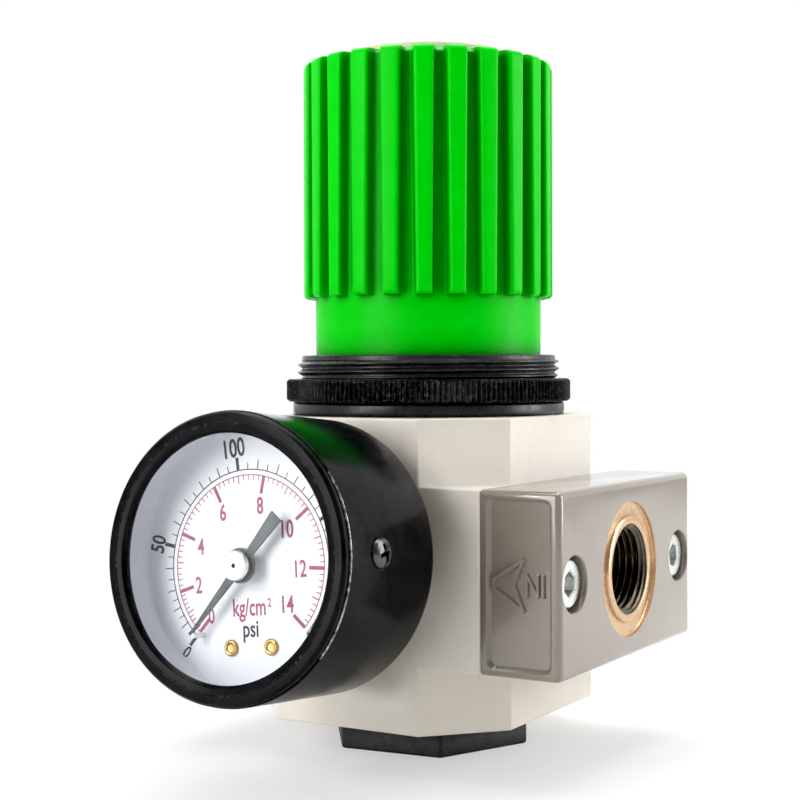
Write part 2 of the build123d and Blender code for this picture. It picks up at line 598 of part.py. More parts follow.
def make_sector_gear():
    # The pointer turns clockwise (negative about +z) and the sector the other
    # way, so most teeth lie before the mesh point to cover the whole sweep.
    pitch = 360.0 / SECTOR_TEETH
    sweep_angle = 270.0 * PINION_TEETH / SECTOR_TEETH
    mesh_dir = SECTOR_DIR + 180.0
    before, after = int(sweep_angle / pitch) + 4, 3
    teeth = gear_outline(SECTOR_TEETH, mesh_dir - before * pitch, before + after + 1,
                         SECTOR_PIVOT)
    low = mesh_dir - before * pitch - 2.0
    high = mesh_dir + after * pitch + 2.0
    at_pivot = Pos(*SECTOR_PIVOT, 0)
    sector = prism(teeth + arc(7.4, high, low, 12, SECTOR_PIVOT), SECTOR_BOTTOM, SECTOR_TOP)
    arm = box(0, 8.4, -1.1, 1.1, SECTOR_BOTTOM, SECTOR_TOP)
    sector += at_pivot * Rot(0, 0, (low + high) / 2) * arm
    sector += cyl(2.0, 22.1, 26.7, *SECTOR_PIVOT)
    sector += cyl(0.8, REAR_PLATE_BOTTOM, FRONT_PLATE_TOP, *SECTOR_PIVOT)
    # tail and its link pin
    tail = box(0, TAIL_LENGTH, -0.9, 0.9, SECTOR_BOTTOM, SECTOR_TOP)
    sector += at_pivot * Rot(0, 0, TAIL_DIR) * tail
    sector += cyl(1.0, SECTOR_BOTTOM, SECTOR_TOP, *TAIL_PIVOT)
    sector += cyl(0.5, 22.6, SECTOR_BOTTOM + 0.1, *TAIL_PIVOT)
    return sector


def make_hairspring():
    # flat spiral between the pinion and the front plate, with its collet
    turns, steps, start_r, growth, width = 3.5, 24, 1.15, 0.85, 0.12
    inner, outer = [
        [polar(start_r + growth * i / steps + offset, 360 * i / steps, ARBOR)
         for i in range(int(turns * steps) + 1)]
        for offset in (0.0, width)]
    return prism(inner + outer[::-1], 25.8, 26.4) + ring(1.25, 0.72, 25.6, 26.6, *ARBOR)


def make_link():
    tail_x, tail_y = TAIL_PIVOT
    run, rise = TIP_PIVOT_X - tail_x, TIP_PIVOT_Y - tail_y
    bar = box(0, hypot(run, rise), -0.8, 0.8, LINK_BOTTOM, LINK_TOP)
    link = Pos(tail_x, tail_y, 0) * Rot(0, 0, degrees(atan2(rise, run))) * bar
    link += (cyl(1.1, LINK_BOTTOM, LINK_TOP, tail_x, tail_y)
             + cyl(1.1, LINK_BOTTOM, LINK_TOP, TIP_PIVOT_X, TIP_PIVOT_Y))
    link -= cyl(0.55, 22, 24, tail_x, tail_y)
    link -= cyl(0.5, 22, 24, TIP_PIVOT_X, TIP_PIVOT_Y)
    return link


# ---- Bourdon tube and socket --------------------------------------------
def make_tube():
    return sector_ring(TUBE_R + TUBE_HALF_T, TUBE_R - TUBE_HALF_T, 14.4, 19.6,
                       TUBE_START, TUBE_END)


def make_tube_tip(tube):
    tip = sector_ring(TUBE_R + 1.3, TUBE_R - 1.3, TIP_BOTTOM, TIP_TOP,
                      TUBE_END, TUBE_END - 8.0, 6)
    tip += box(TIP_PIVOT_X - 1.2, TIP_PIVOT_X + 3.0, TIP_PIVOT_Y - 1.4, TIP_PIVOT_Y + 3.2,
               TIP_TOP - 0.8, TIP_TOP)
    tip += cyl(0.9, TIP_TOP - 0.8, 22.8, TIP_PIVOT_X, TIP_PIVOT_Y)
    return tip - tube


def make_socket(tube, case):
    # thread, collar, wrench hex and neck, then the block inside the case
    socket = (cyl(GAUGE_PORT_R - THREAD_CLEARANCE, -10.0, 0.1) + cyl(8.2, 0.0, 2.0)
              + hexagon(14.0 / sqrt(3), 2.0, 8.3) + cyl(7.6, 8.3, CASE_BACK))
    socket += (cyl(5.95, CASE_BACK - 0.1, 13.4)
               + box(-5.0, 5.0, -4.5, 4.5, 13.3, REAR_PLATE_BOTTOM))
    # arm out to the fixed end of the tube
    arm = Rot(0, 0, TUBE_START) * box(0, TUBE_R - TUBE_HALF_T, -2.6, 2.6, 14.0, 20.0)
    arm += (Rot(0, 0, TUBE_START + 4.2)
            * box(TUBE_R - 3.0, TUBE_R + 1.4, -1.3, 1.3, 14.0, 20.0))
    socket += arm
    socket -= tube
    socket -= cyl(1.5, -11.0, 18.0)
    socket -= case
    return socket


# ---- collect the pieces -------------------------------------------------
plate_seal = make_plate_seal()
plate_screws = Compound([make_cap_screw(end * SCREW_Y) for end in SIDES])
gauge_case = make_gauge_case()
bourdon_tube = make_tube()

parts = {
    "body": make_body(),
    "inlet_port_plate": make_port_plate(1),
    "outlet_port_plate": make_port_plate(-1),
    "inlet_plate_seal": plate_seal,
    "outlet_plate_seal": Rot(0, 0, 180) * plate_seal,
    "inlet_plate_screws": plate_screws,
    "outlet_plate_screws": Rot(0, 0, 180) * plate_screws,
    "bonnet": make_bonnet(),
    "panel_nut": make_panel_nut(),
    "knob": make_knob(),
    "knob_cap": make_knob_cap(),
    "adjusting_spindle": make_spindle(),
    "thrust_washer": ring(8.5, 4.98, SPINDLE_FLANGE_TOP, TOWER_ROOF - 0.05),
    "spindle_retaining_ring": ring(7.0, 4.22, TOWER_TOP + 0.12, TOWER_TOP + 1.08),
    "spring_nut": make_spring_nut(),
    "diaphragm": make_diaphragm(),
    "lower_spring_seat": make_lower_spring_seat(),
    "diaphragm_plate": make_diaphragm_plate(),
    "diaphragm_nut": make_diaphragm_nut(),
    "adjusting_spring": make_adjusting_spring(),
    "valve_seat": make_valve_seat(),
    "valve_disc": ring(DISC_R, STEM_R, DISC_BOTTOM, DISC_TOP),
    "valve_poppet": make_valve_poppet(),
    "valve_stem": make_valve_stem(),
    "valve_spring": make_valve_spring(),
    "bottom_plug": make_bottom_plug(),
    "bottom_plug_seal": ring(14.97, 13.02, 10.02, 11.98),
    "rear_port_plug": make_rear_port_plug(),
    "rear_plug_seal": make_rear_plug_seal(),
}
gauge_parts = {
    "gauge_case": gauge_case,
    "gauge_bezel": make_bezel(),
    "gauge_window": cyl(TRAY_R, WINDOW_BOTTOM, WINDOW_TOP),
    "window_gasket": ring(TRAY_R, 22.0, TRAY_TOP, WINDOW_BOTTOM),
    "gauge_dial": make_dial(),
    "zero_stop_pin": make_stop_pin(),
    "dial_rivets": Compound([make_rivet(point) for point in RIVET_POINTS]),
    "movement_front_plate": make_front_plate(),
    "movement_rear_plate": make_rear_plate(),
    "movement_pillars": Compound([cyl(1.2, REAR_PLATE_TOP, FRONT_PLATE_BOTTOM, *point)
                                  for point in PILLARS]),
    "pinion_shaft": make_pinion_shaft(),
    "hairspring": make_hairspring(),
    "sector_gear": make_sector_gear(),
    "link": make_link(),
    "bourdon_tube": bourdon_tube,
    "tube_tip": make_tube_tip(bourdon_tube),
    "gauge_socket": make_socket(bourdon_tube, gauge_case),
    "gauge_thread_seal": ring(8.0, GAUGE_PORT_R, -0.9, 0.0),
    "case_screws": Compound([make_case_screw(angle) for angle in CASE_SCREW_ANGLES]),
    "pointer": make_pointer(),
    "pointer_hub": make_pointer_hub(),
}
for name, shape in gauge_parts.items():
    parts[name] = GAUGE_FRAME * shape

os.makedirs("parts", exist_ok=True)
for name, shape in parts.items():
    solids = shape.solids()
    piece = solids[0] if len(solids) == 1 else Compound(list(solids))
    export_step(piece, f"parts/{name}.step")
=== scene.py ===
"""A pressure regulator with a ribbed green knob on top and a round gauge on one side.

It stands on z = 0 with the knob axis on +Z. The inlet plate faces +X, the outlet plate
faces -X and the gauge faces -Y, tilted slightly upwards. Shapes are drawn in millimetres
and scaled to metres when they become objects.
"""
import json
from functools import partial
from math import sin, cos, tan, pi, radians, sqrt, atan2

import bmesh
import bpy
from mathutils import Matrix, Quaternion, Vector


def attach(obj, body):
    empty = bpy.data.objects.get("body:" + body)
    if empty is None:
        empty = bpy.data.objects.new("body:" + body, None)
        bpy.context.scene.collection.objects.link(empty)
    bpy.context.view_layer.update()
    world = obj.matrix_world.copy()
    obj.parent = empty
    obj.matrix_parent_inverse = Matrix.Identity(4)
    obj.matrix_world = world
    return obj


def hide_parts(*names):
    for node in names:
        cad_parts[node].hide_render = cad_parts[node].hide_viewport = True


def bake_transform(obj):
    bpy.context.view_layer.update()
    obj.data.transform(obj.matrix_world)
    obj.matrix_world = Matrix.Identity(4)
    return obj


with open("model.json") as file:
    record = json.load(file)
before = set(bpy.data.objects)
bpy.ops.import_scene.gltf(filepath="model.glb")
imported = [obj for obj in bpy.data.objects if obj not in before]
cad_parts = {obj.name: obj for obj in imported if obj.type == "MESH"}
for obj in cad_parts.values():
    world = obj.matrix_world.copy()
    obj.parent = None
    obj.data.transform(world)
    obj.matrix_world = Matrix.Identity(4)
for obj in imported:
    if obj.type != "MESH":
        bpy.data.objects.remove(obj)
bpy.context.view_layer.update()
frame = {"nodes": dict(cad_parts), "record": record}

NODES = frame["nodes"]
MM = 0.001
TAU = 2 * pi

# ------------------------------------------------------------------ dimensions (mm)
PORT_Z = 35.5                  # height of the port axis
PLATE_BACK_X = 27.8
PLATE_FACE_X = 43.3
PLATE_HALF_Y = 30.3
PLATE_HALF_Z = 16.25
PLATE_BOTTOM = PORT_Z - PLATE_HALF_Z
PLATE_TOP = PORT_Z + PLATE_HALF_Z
PLATE_SCREW_Y = 24.4
CAP_TOP = 138.2                # top of the knob's domed cap

GAUGE_TILT = radians(5.16)
GAUGE_Y, GAUGE_Z = 30.42, 38.73
DIAL_Z = 29.0                  # dial face along the gauge axis
PIVOT_X, PIVOT_Y = -0.4, -1.3  # pointer axis in the gauge frame
POINTER_ANGLE = -141.5         # degrees clockwise from up

# gauge frame: x along +X, y up the dial, z out through the window
GAUGE = Matrix(((1, 0, 0, 0),
                (0, sin(GAUGE_TILT), -cos(GAUGE_TILT), -GAUGE_Y),
                (0, cos(GAUGE_TILT), sin(GAUGE_TILT), GAUGE_Z),
                (0, 0, 0, 1)))
TO_GAUGE = GAUGE.inverted()


# ------------------------------------------------------------------ shader helpers
def feed(tree, node, inputs):
    """Set a node's inputs; an output socket is linked, anything else is a value."""
    for key, value in inputs.items():
        if isinstance(value, bpy.types.NodeSocket):
            tree.links.new(value, node.inputs[key])
        else:
            node.inputs[key].default_value = value


def add_node(tree, kind, inputs=None, **settings):
    node = tree.nodes.new("ShaderNode" + kind)
    for key, value in settings.items():
        setattr(node, key, value)
    feed(tree, node, inputs or {})
    return node


def empty_tree(owner):
    owner.use_nodes = True
    owner.node_tree.nodes.clear()
    return owner.node_tree


# ------------------------------------------------------------------ materials
MATERIALS = {}


def add_material(name, color, rough=0.4, metal=0.0, specular=0.5,
                 color_var=0.05, color_scale=0.25,   # relative colour change and its noise
                 rough_var=0.08, rough_scale=0.6,    # roughness change and its noise
                 grain=0.25, grain_scale=6.0, grain_mm=0.02, brushed=None,  # bump
                 coat=0.0, coat_rough=0.08, subsurface=0.0,
                 edge_color=None, edge_wear=0.0,     # worn edges
                 scratch=0.0, dust=0.0, painted_hollow_shade=0.0):
    """Procedural material in object space. Noise scales are per millimetre."""
    material = bpy.data.materials.new(name)
    tree = empty_tree(material)
    node = partial(add_node, tree)
    output = node("OutputMaterial")
    surface = node("BsdfPrincipled")
    feed(tree, output, {0: surface.outputs[0]})
    coords = node("TexCoord").outputs["Object"]

    def mapped(scale, rotation=(0, 0, 0)):
        return node("Mapping", {"Scale": tuple(1000 * s for s in scale),
                                "Rotation": rotation, 0: coords}).outputs[0]

    plain = mapped((1, 1, 1))

    def noise(scale, detail, roughness=0.55, vector=plain):
        return node("TexNoise", {"Scale": scale, "Detail": detail, "Roughness": roughness,
                                 "Vector": vector}).outputs["Fac"]

    def remap(value, low, high, from_low=0.35, from_high=0.65):
        return node("MapRange", {"From Min": from_low, "From Max": from_high, "To Min": low,
                                 "To Max": high, "Value": value}).outputs["Result"]

    def calc(operation, first, second, **settings):
        return node("Math", {0: first, 1: second}, operation=operation, **settings).outputs[0]

    def mix(factor, first, second, **settings):
        return node("Mix", {"Factor": factor, "A": first, "B": second},
                    data_type="RGBA", **settings).outputs["Result"]

    shade_noise = noise(color_scale, detail=4)
    darker = [max(0.0, x * (1 - color_var)) for x in Vector(color)]
    lighter = [min(1.0, x * (1 + color_var) + 0.002) for x in Vector(color)]
    colour = mix(remap(shade_noise, 0, 1), (*darker, 1), (*lighter, 1))

    if dust:
        # pale dust, broken up by noise, on faces that look up
        specks = noise(1.7, detail=6, roughness=0.7)
        normal = node("NewGeometry").outputs["Normal"]
        up = node("SeparateXYZ", {0: normal}).outputs["Z"]
        settled = calc("MULTIPLY", remap(up, 0.1, 1.0, from_low=-0.2, from_high=1.0),
                       remap(specks, 0, 1, from_low=0.5, from_high=0.72))
        colour = mix(calc("MULTIPLY", settled, dust), colour, (0.72, 0.69, 0.64, 1))

    if edge_wear:
        # edges are where the bevelled normal leaves the true one
        bevelled = node("Bevel", {"Radius": 0.0004}, samples=3).outputs[0]
        normal = node("NewGeometry").outputs["Normal"]
        likeness = node("VectorMath", {0: bevelled, 1: normal}, operation="DOT_PRODUCT")
        edge = remap(likeness.outputs["Value"], 1.0, 0.0, from_low=0.80, from_high=0.985)
        patches = noise(1.3, detail=6, roughness=0.75)
        worn = calc("MULTIPLY", edge, remap(patches, 0, 1, from_low=0.50, from_high=0.66))
        colour = mix(calc("MULTIPLY", worn, edge_wear), colour, (*edge_color, 1))

    if painted_hollow_shade:
        # painted shade: darker colour where the surface sits in a hollow, taken from ambient
        # occlusion
        openness = node("AmbientOcclusion", {"Distance": 0.0055}, samples=6).outputs["AO"]
        grey = remap(openness, 1.0 - painted_hollow_shade, 1.0, from_low=0.45, from_high=0.95)
        shadow = node("CombineColor", {k: grey for k in range(3)}).outputs[0]
        colour = mix(1.0, colour, shadow, blend_type="MULTIPLY")

    roughness = remap(noise(rough_scale, detail=5, roughness=0.6),
                      max(0.02, rough - rough_var), min(1.0, rough + rough_var))
    if scratch:
        # noise stretched into slanting streaks
        streaks = noise(1.0, detail=3, roughness=0.8,
                        vector=mapped((0.35, 6.0, 0.35), rotation=(0.35, 0.2, 0.6)))
        roughness = calc("ADD", roughness,
                         remap(streaks, 0, scratch, from_low=0.60, from_high=0.70),
                         use_clamp=True)

    if brushed:
        height = noise(1.0, detail=4, roughness=0.6, vector=mapped(brushed))
    else:
        height = noise(grain_scale, detail=3, roughness=0.6)
    bump = node("Bump", {"Strength": grain, "Distance": grain_mm * MM, "Height": height})

    feed(tree, surface, {
        "Base Color": colour, "Roughness": roughness, "Normal": bump.outputs[0],
        "Metallic": metal, "Specular IOR Level": specular,
        "Coat Weight": coat, "Coat Roughness": coat_rough})
    if subsurface:
        feed(tree, surface, {"Subsurface Weight": subsurface,
                             "Subsurface Radius": (0.5, 1.0, 0.3),
                             "Subsurface Scale": 0.0012})
    material.diffuse_color = (*color, 1)
    MATERIALS[name] = material


def add_window_material():
    """Clear window: mostly see-through, with a faint uneven reflection."""
    material = bpy.data.materials.new("window")
    tree = empty_tree(material)
    node = partial(add_node, tree)
    clear = node("BsdfTransparent", {0: (0.985, 0.99, 0.99, 1)})
    gloss = node("BsdfGlossy", {"Roughness": 0.03})
    fresnel = node("Fresnel", {"IOR": 1.16})
    coords = node("TexCoord").outputs["Object"]
    noise = node("TexNoise", {"Scale": 900.0, "Detail": 4, "Vector": coords}).outputs["Fac"]
    smear = node("MapRange", {"To Min": 0.02, "To Max": 0.06, "Value": noise})
    bump = node("Bump", {"Strength": 0.05, "Distance": 0.00001, "Height": noise})
    feed(tree, gloss, {"Roughness": smear.outputs[0], "Normal": bump.outputs[0]})
    mix = node("MixShader", {0: fresnel.outputs[0], 1: clear.outputs[0], 2: gloss.outputs[0]})
    node("OutputMaterial", {0: mix.outputs[0]})
    material.diffuse_color = (0.9, 0.95, 1.0, 0.2)
    MATERIALS["window"] = material


# painted and cast body
add_material("cream_paint", color=(0.80, 0.745, 0.662), rough=0.34, rough_var=0.06,
             color_var=0.018, grain=0.25, grain_scale=1.6, grain_mm=0.03, coat=0.15,
             coat_rough=0.25, edge_color=(0.62, 0.60, 0.57), edge_wear=0.2, dust=0.03)
add_material("taupe_zinc", color=(0.235, 0.195, 0.160), rough=0.30, rough_var=0.02,
             rough_scale=0.25, color_var=0.03, grain=0.10, grain_scale=0.7, grain_mm=0.004,
             specular=0.5, coat=1.0, coat_rough=0.10, edge_color=(0.70, 0.66, 0.60),
             edge_wear=0.30)
add_material("port_machined", color=(0.60, 0.405, 0.245), rough=0.26, metal=0.78,
             rough_var=0.04, color_var=0.04, grain=0.08, grain_mm=0.004,
             brushed=(0.4, 2.5, 2.5), scratch=0.04)
# thread in the port bore: scratched metal whose colour is darkened as painted shade for the
# inside of the bore
add_material("bore_thread_painted_shade", color=(0.10, 0.085, 0.058), rough=0.38, metal=0.85,
             rough_var=0.12, color_var=0.2, grain=0.5, grain_mm=0.03, scratch=0.2)
# plastics
add_material("black_plastic", color=(0.016, 0.016, 0.017), rough=0.30, specular=0.32,
             rough_var=0.10, color_var=0.25, grain=0.5, grain_scale=5.0, grain_mm=0.03,
             edge_color=(0.10, 0.10, 0.10), edge_wear=0.6, dust=0.02, scratch=0.15)
add_material("plug_black", color=(0.020, 0.020, 0.022), rough=0.45, specular=0.30,
             rough_var=0.12, color_var=0.35, color_scale=1.2, grain=0.9, grain_scale=4.5,
             grain_mm=0.09, edge_color=(0.16, 0.16, 0.16), edge_wear=0.6, dust=0.03)
add_material("nut_black", color=(0.005, 0.005, 0.006), rough=0.34, specular=0.07,
             rough_var=0.10, color_var=0.25, grain=0.4, grain_mm=0.02,
             edge_color=(0.35, 0.35, 0.34), edge_wear=0.75, scratch=0.2)
# knob: painted shade darkens the grooves between the ribs, from ambient occlusion
add_material("knob_green", color=(0.0, 0.600, 0.004), rough=0.40, rough_var=0.05,
             color_var=0.03, grain=0.18, grain_scale=3.0, grain_mm=0.02, subsurface=0.06,
             specular=0.09, painted_hollow_shade=0.62)
add_material("cap_cream", color=(0.70, 0.69, 0.50), rough=0.40, color_var=0.02, grain=0.3,
             grain_mm=0.03)
# metals and rubbers
add_material("zinc_steel", color=(0.70, 0.72, 0.71), rough=0.28, metal=0.9, rough_var=0.04,
             color_var=0.04, grain=0.06, grain_scale=2.0, grain_mm=0.003, scratch=0.04)
add_material("steel", color=(0.60, 0.61, 0.63), rough=0.30, metal=1.0, rough_var=0.1,
             brushed=(7, 7, 0.6), grain=0.4, grain_mm=0.01)
add_material("spring_steel", color=(0.34, 0.35, 0.37), rough=0.36, metal=1.0,
             rough_var=0.12, color_var=0.15, grain=0.3, grain_mm=0.015)
add_material("nitrile", color=(0.018, 0.018, 0.018), rough=0.62, rough_var=0.1, grain=0.6,
             grain_scale=5, grain_mm=0.03, specular=0.35)
add_material("diaphragm_rubber", color=(0.03, 0.027, 0.025), rough=0.7, grain=0.8,
             grain_scale=3, grain_mm=0.05, specular=0.3)
add_material("aluminium", color=(0.72, 0.73, 0.75), rough=0.35, metal=1.0,
             brushed=(5, 5, 0.8), grain=0.4, grain_mm=0.01)
add_material("brass", color=(0.66, 0.46, 0.18), rough=0.30, metal=1.0, rough_var=0.1,
             color_var=0.12, grain=0.35, grain_mm=0.012, scratch=0.15)
add_material("bronze", color=(0.50, 0.31, 0.15), rough=0.34, metal=1.0, rough_var=0.1,
             color_var=0.15, grain=0.35, grain_mm=0.015)
# gauge
add_material("gauge_black", color=(0.0045, 0.0045, 0.0055), rough=0.20, rough_var=0.05,
             color_var=0.2, grain=0.25, grain_scale=0.8, grain_mm=0.04, specular=0.085,
             edge_color=(0.5, 0.48, 0.44), edge_wear=0.25, scratch=0.08)
add_material("dial_white", color=(0.85, 0.86, 0.915), rough=0.42, rough_var=0.05,
             color_var=0.015, grain=0.15, grain_scale=5, grain_mm=0.01)
add_material("pointer_grey", color=(0.094, 0.098, 0.098), rough=0.42, rough_var=0.06,
             color_var=0.08, grain=0.3, grain_scale=6, grain_mm=0.01)
add_material("hub_silver", color=(0.90, 0.91, 0.88), rough=0.30, metal=0.55,
             rough_var=0.04, color_var=0.03, grain=0.1, grain_scale=2.0, grain_mm=0.004)
add_material("screw_black", color=(0.09, 0.09, 0.088), rough=0.20, metal=0.8,
             specular=0.6, color_var=0.3, grain=0.3, grain_mm=0.01, scratch=0.2)
# painted highlight: lighter metal that stands for the glint of light along the case rim seam
add_material("painted_seam_glint", color=(0.30, 0.28, 0.25), rough=0.30, metal=0.8,
             color_var=0.85, color_scale=1.1, rough_var=0.2, grain=0.3, grain_mm=0.01)
add_material("hub_dark", color=(0.03, 0.03, 0.03), rough=0.35, color_var=0.1, grain=0.2,
             grain_mm=0.01)
add_material("ink_black", color=(0.045, 0.042, 0.052), rough=0.55, color_var=0.25,
             color_scale=2.0, grain=0.2, grain_mm=0.005)
add_material("ink_red", color=(0.37, 0.075, 0.165), rough=0.55, color_var=0.15,
             color_scale=2.0, grain=0.2, grain_mm=0.005)
add_window_material()


def set_only_material(mesh, material):
    mesh.materials.clear()
    mesh.materials.append(material)
    for face in mesh.polygons:
        face.material_index = 0


# every CAD node starts with its slot's material
node_slots = {part["node"]: part["material_slot"] for part in frame["record"]["subparts"]}
for node_name, cad in NODES.items():
    set_only_material(cad.data, MATERIALS[node_slots[node_name]])


# ------------------------------------------------------------------ objects
def add_object(name, data):
    obj = bpy.data.objects.new(name, data)
    bpy.context.scene.collection.objects.link(obj)
    return obj


def shade(obj, angle):
    """Smooth shading, with edges sharper than the angle (degrees) left sharp."""
    bm = bmesh.new()
    bm.from_mesh(obj.data)
    for edge in bm.edges:
        edge.smooth = len(edge.link_faces) == 2 and edge.calc_face_angle(0.0) < radians(angle)
    for face in bm.faces:
        face.smooth = True
    bm.to_mesh(obj.data)
    bm.free()


def make(name, bm, body, slot=None, replaced=None, material=None, angle=32.0, matrix=None,
         weld=1e-4):
    """Turn a millimetre bmesh into an object; the material defaults to the slot's."""
    if weld:
        bmesh.ops.remove_doubles(bm, verts=bm.verts, dist=weld)
    bmesh.ops.dissolve_degenerate(bm, edges=bm.edges, dist=1e-5)
    bmesh.ops.recalc_face_normals(bm, faces=bm.faces)
    mesh = bpy.data.meshes.new(name)
    if matrix is not None:
        bm.transform(matrix)
    bm.transform(Matrix.Scale(MM, 4))
    bm.to_mesh(mesh)
    bm.free()
    obj = add_object(name, mesh)
    mesh.materials.append(MATERIALS[material or slot])
    shade(obj, angle)
    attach(obj, body)
    if replaced:
        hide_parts(replaced)
    return obj


def paint(obj, material, test):
    """Give a material to the faces whose centre and corners (mm) all pass the test."""
    mesh = obj.data
    mesh.materials.append(MATERIALS[material])
    index = len(mesh.materials) - 1
    for face in mesh.polygons:
        if test(face.center / MM) and all(test(mesh.vertices[v].co / MM)
                                          for v in face.vertices):
            face.material_index = index


# ------------------------------------------------------------------ shape helpers (mm)
def clamp(value):
    return min(1.0, max(0.0, value))


def swing(start, end):
    """The shorter signed turn between two angles."""
    return (end - start + pi) % TAU - pi


def fillet(points, seg, closed=True):
    """Round the corners of (x, y[, radius]) points; open outlines keep both ends."""
    out = []
    count = len(points)
    for i, point in enumerate(points):
        radius = point[2] if len(point) > 2 else 0.0
        corner = Vector(point[:2])
        if radius <= 0 or (not closed and i in (0, count - 1)):
            out.append((corner.x, corner.y))
            continue
        before = Vector(points[i - 1][:2]) - corner
        after = Vector(points[(i + 1) % count][:2]) - corner
        room = (0.49 * before.length, 0.49 * after.length)
        before.normalize()
        after.normalize()
        angle = before.angle(after)
        if angle > pi - 0.02:
            out.append((corner.x, corner.y))
            continue
        trim = min(radius / tan(angle / 2), *room)
        radius = trim * tan(angle / 2)
        centre = corner + (before + after).normalized() * (radius / sin(angle / 2))
        first = corner + before * trim - centre
        last = corner + after * trim - centre
        start = atan2(first.y, first.x)
        turn = swing(start, atan2(last.y, last.x))
        for k in range(seg + 1):
            at = start + turn * k / seg
            out.append((centre.x + radius * cos(at), centre.y + radius * sin(at)))
    return out


def grid(rows, close_loop=False):
    """Join rings of equal count, or single-point poles, in order."""
    bm = bmesh.new()
    made = [[bm.verts.new(point) for point in row] for row in rows]
    pairs = list(zip(made, made[1:]))
    if close_loop:
        pairs.append((made[-1], made[0]))
    for a, b in pairs:
        count = max(len(a), len(b))
        for i in range(count):
            j = (i + 1) % count
            if len(a) == 1:
                bm.faces.new((a[0], b[j], b[i]))
            elif len(b) == 1:
                bm.faces.new((a[i], a[j], b[0]))
            else:
                bm.faces.new((a[i], a[j], b[j], b[i]))
    return bm


def capped(rings):
    bm = grid(rings)
    bmesh.ops.holes_fill(bm, edges=[e for e in bm.edges if e.is_boundary], sides=0)
    return bm


def lathe(profile, count, radius_at=None, closed=True, matrix=None):
    """Turn (radius, z) points about z; radius_at(r, z, angle) may vary the radius."""
    rows = []
    for r, z in profile:
        if r < 1e-6:
            rows.append([(0, 0, z)])
            continue
        ring = []
        for i in range(count):
            angle = TAU * i / count
            radius = radius_at(r, z, angle) if radius_at else r
            ring.append((radius * cos(angle), radius * sin(angle), z))
        rows.append(ring)
    bm = grid(rows, close_loop=closed)
    if matrix is not None:
        bm.transform(matrix)
    return bm


def turned(points, count, seg, closed=False, matrix=None):
    """Lathe of (radius, z[, corner radius]) points."""
    return lathe(fillet(points, seg, closed), count, closed=closed, matrix=matrix)


def cylinder(r, z0, z1, count, matrix=None):
    return lathe([(0, z0), (r, z0), (r, z1), (0, z1)], count, closed=False, matrix=matrix)


def frustum(lower, upper, z0, z1):
    bm = bmesh.new()
    low = [bm.verts.new((x, y, z0)) for x, y in lower]
    high = [bm.verts.new((x, y, z1)) for x, y in upper]
    bm.faces.new(low[::-1])
    bm.faces.new(high)
    for i in range(len(low)):
        j = (i + 1) % len(low)
        bm.faces.new((low[i], low[j], high[j], high[i]))
    return bm


def prism(outline, z0, z1):
    return frustum(outline, outline, z0, z1)


def rectangle(x0, x1, y0, y1):
    return [(x0, y0), (x1, y0), (x1, y1), (x0, y1)]


def bar(start, end, width, overrun):
    """Rectangle along a line, longer at each end by overrun * width."""
    start, end = Vector(start), Vector(end)
    along = (end - start).normalized()
    across = Vector((-along.y, along.x)) * width / 2
    start, end = start - along * width * overrun, end + along * width * overrun
    return [tuple(start + across), tuple(start - across),
            tuple(end - across), tuple(end + across)]


def ridge(outline, z0, z1, inset):
    """Raised bar with sloped sides."""
    top = []
    count = len(outline)
    for i in range(count):
        corner = Vector(outline[i])
        before = (Vector(outline[i - 1]) - corner).normalized()
        after = (Vector(outline[(i + 1) % count]) - corner).normalized()
        top.append(tuple(corner + (before + after) * inset))
    return frustum(outline, top, z0, z1)


def bevel(bm, radius, seg, pick=None, angle=25.0):
    """Round the picked edges that are sharper than the angle (degrees)."""
    bmesh.ops.recalc_face_normals(bm, faces=bm.faces)
    edges = [e for e in bm.edges
             if len(e.link_faces) == 2 and e.calc_face_angle(0.0) > radians(angle)
             and (pick is None or pick(e))]
    bmesh.ops.bevel(bm, geom=edges, offset=radius, offset_type="OFFSET", segments=seg,
                    profile=0.5, affect="EDGES", clamp_overlap=True)


def join(parts):
    whole = parts[0]
    for part in parts[1:]:
        mesh = bpy.data.meshes.new("tmp")
        part.to_mesh(mesh)
        part.free()
        whole.from_mesh(mesh)
        bpy.data.meshes.remove(mesh)
    return whole


def temp_object(bm):
    bmesh.ops.remove_doubles(bm, verts=bm.verts, dist=1e-5)
    bmesh.ops.recalc_face_normals(bm, faces=bm.faces)
    mesh = bpy.data.meshes.new("tmp")
    bm.to_mesh(mesh)
    bm.free()
    return add_object("tmp", mesh)


def remove_mesh_object(obj):
    mesh = obj.data
    bpy.data.objects.remove(obj)
    bpy.data.meshes.remove(mesh)


def evaluated_mesh(obj):
    depsgraph = bpy.context.evaluated_depsgraph_get()
    depsgraph.update()
    return bpy.data.meshes.new_from_object(obj.evaluated_get(depsgraph))


def boolean(base, tools, operation="DIFFERENCE"):
    """Apply the tools one by one; the inputs are used up and a new bmesh returned."""
    target = temp_object(base)
    for tool_bm in tools:
        tool = temp_object(tool_bm)
        modifier = target.modifiers.new("b", "BOOLEAN")
        modifier.operation = operation
        modifier.solver = "EXACT"
        modifier.object = tool
        result = evaluated_mesh(target)
        target.modifiers.clear()
        old = target.data
        target.data = result
        bpy.data.meshes.remove(old)
        remove_mesh_object(tool)
    bm = bmesh.new()
    bm.from_mesh(target.data)
    remove_mesh_object(target)
    return bm


def along_x(y, z):
    """Matrix taking local z to +X, through the given y and z."""
    turn = Vector((0, 0, 1)).rotation_difference(Vector((1, 0, 0)))
    return Matrix.Translation((0, y, z)) @ turn.to_matrix().to_4x4()


def thread_wave(z, angle, pitch, flat):
    """Helical wave from 0 to 1, clipped flat at both extremes."""
    phase = (z / pitch - angle / TAU) % 1.0
    return clamp((1 - abs(2 * phase - 1) - flat) / (1 - 2 * flat))


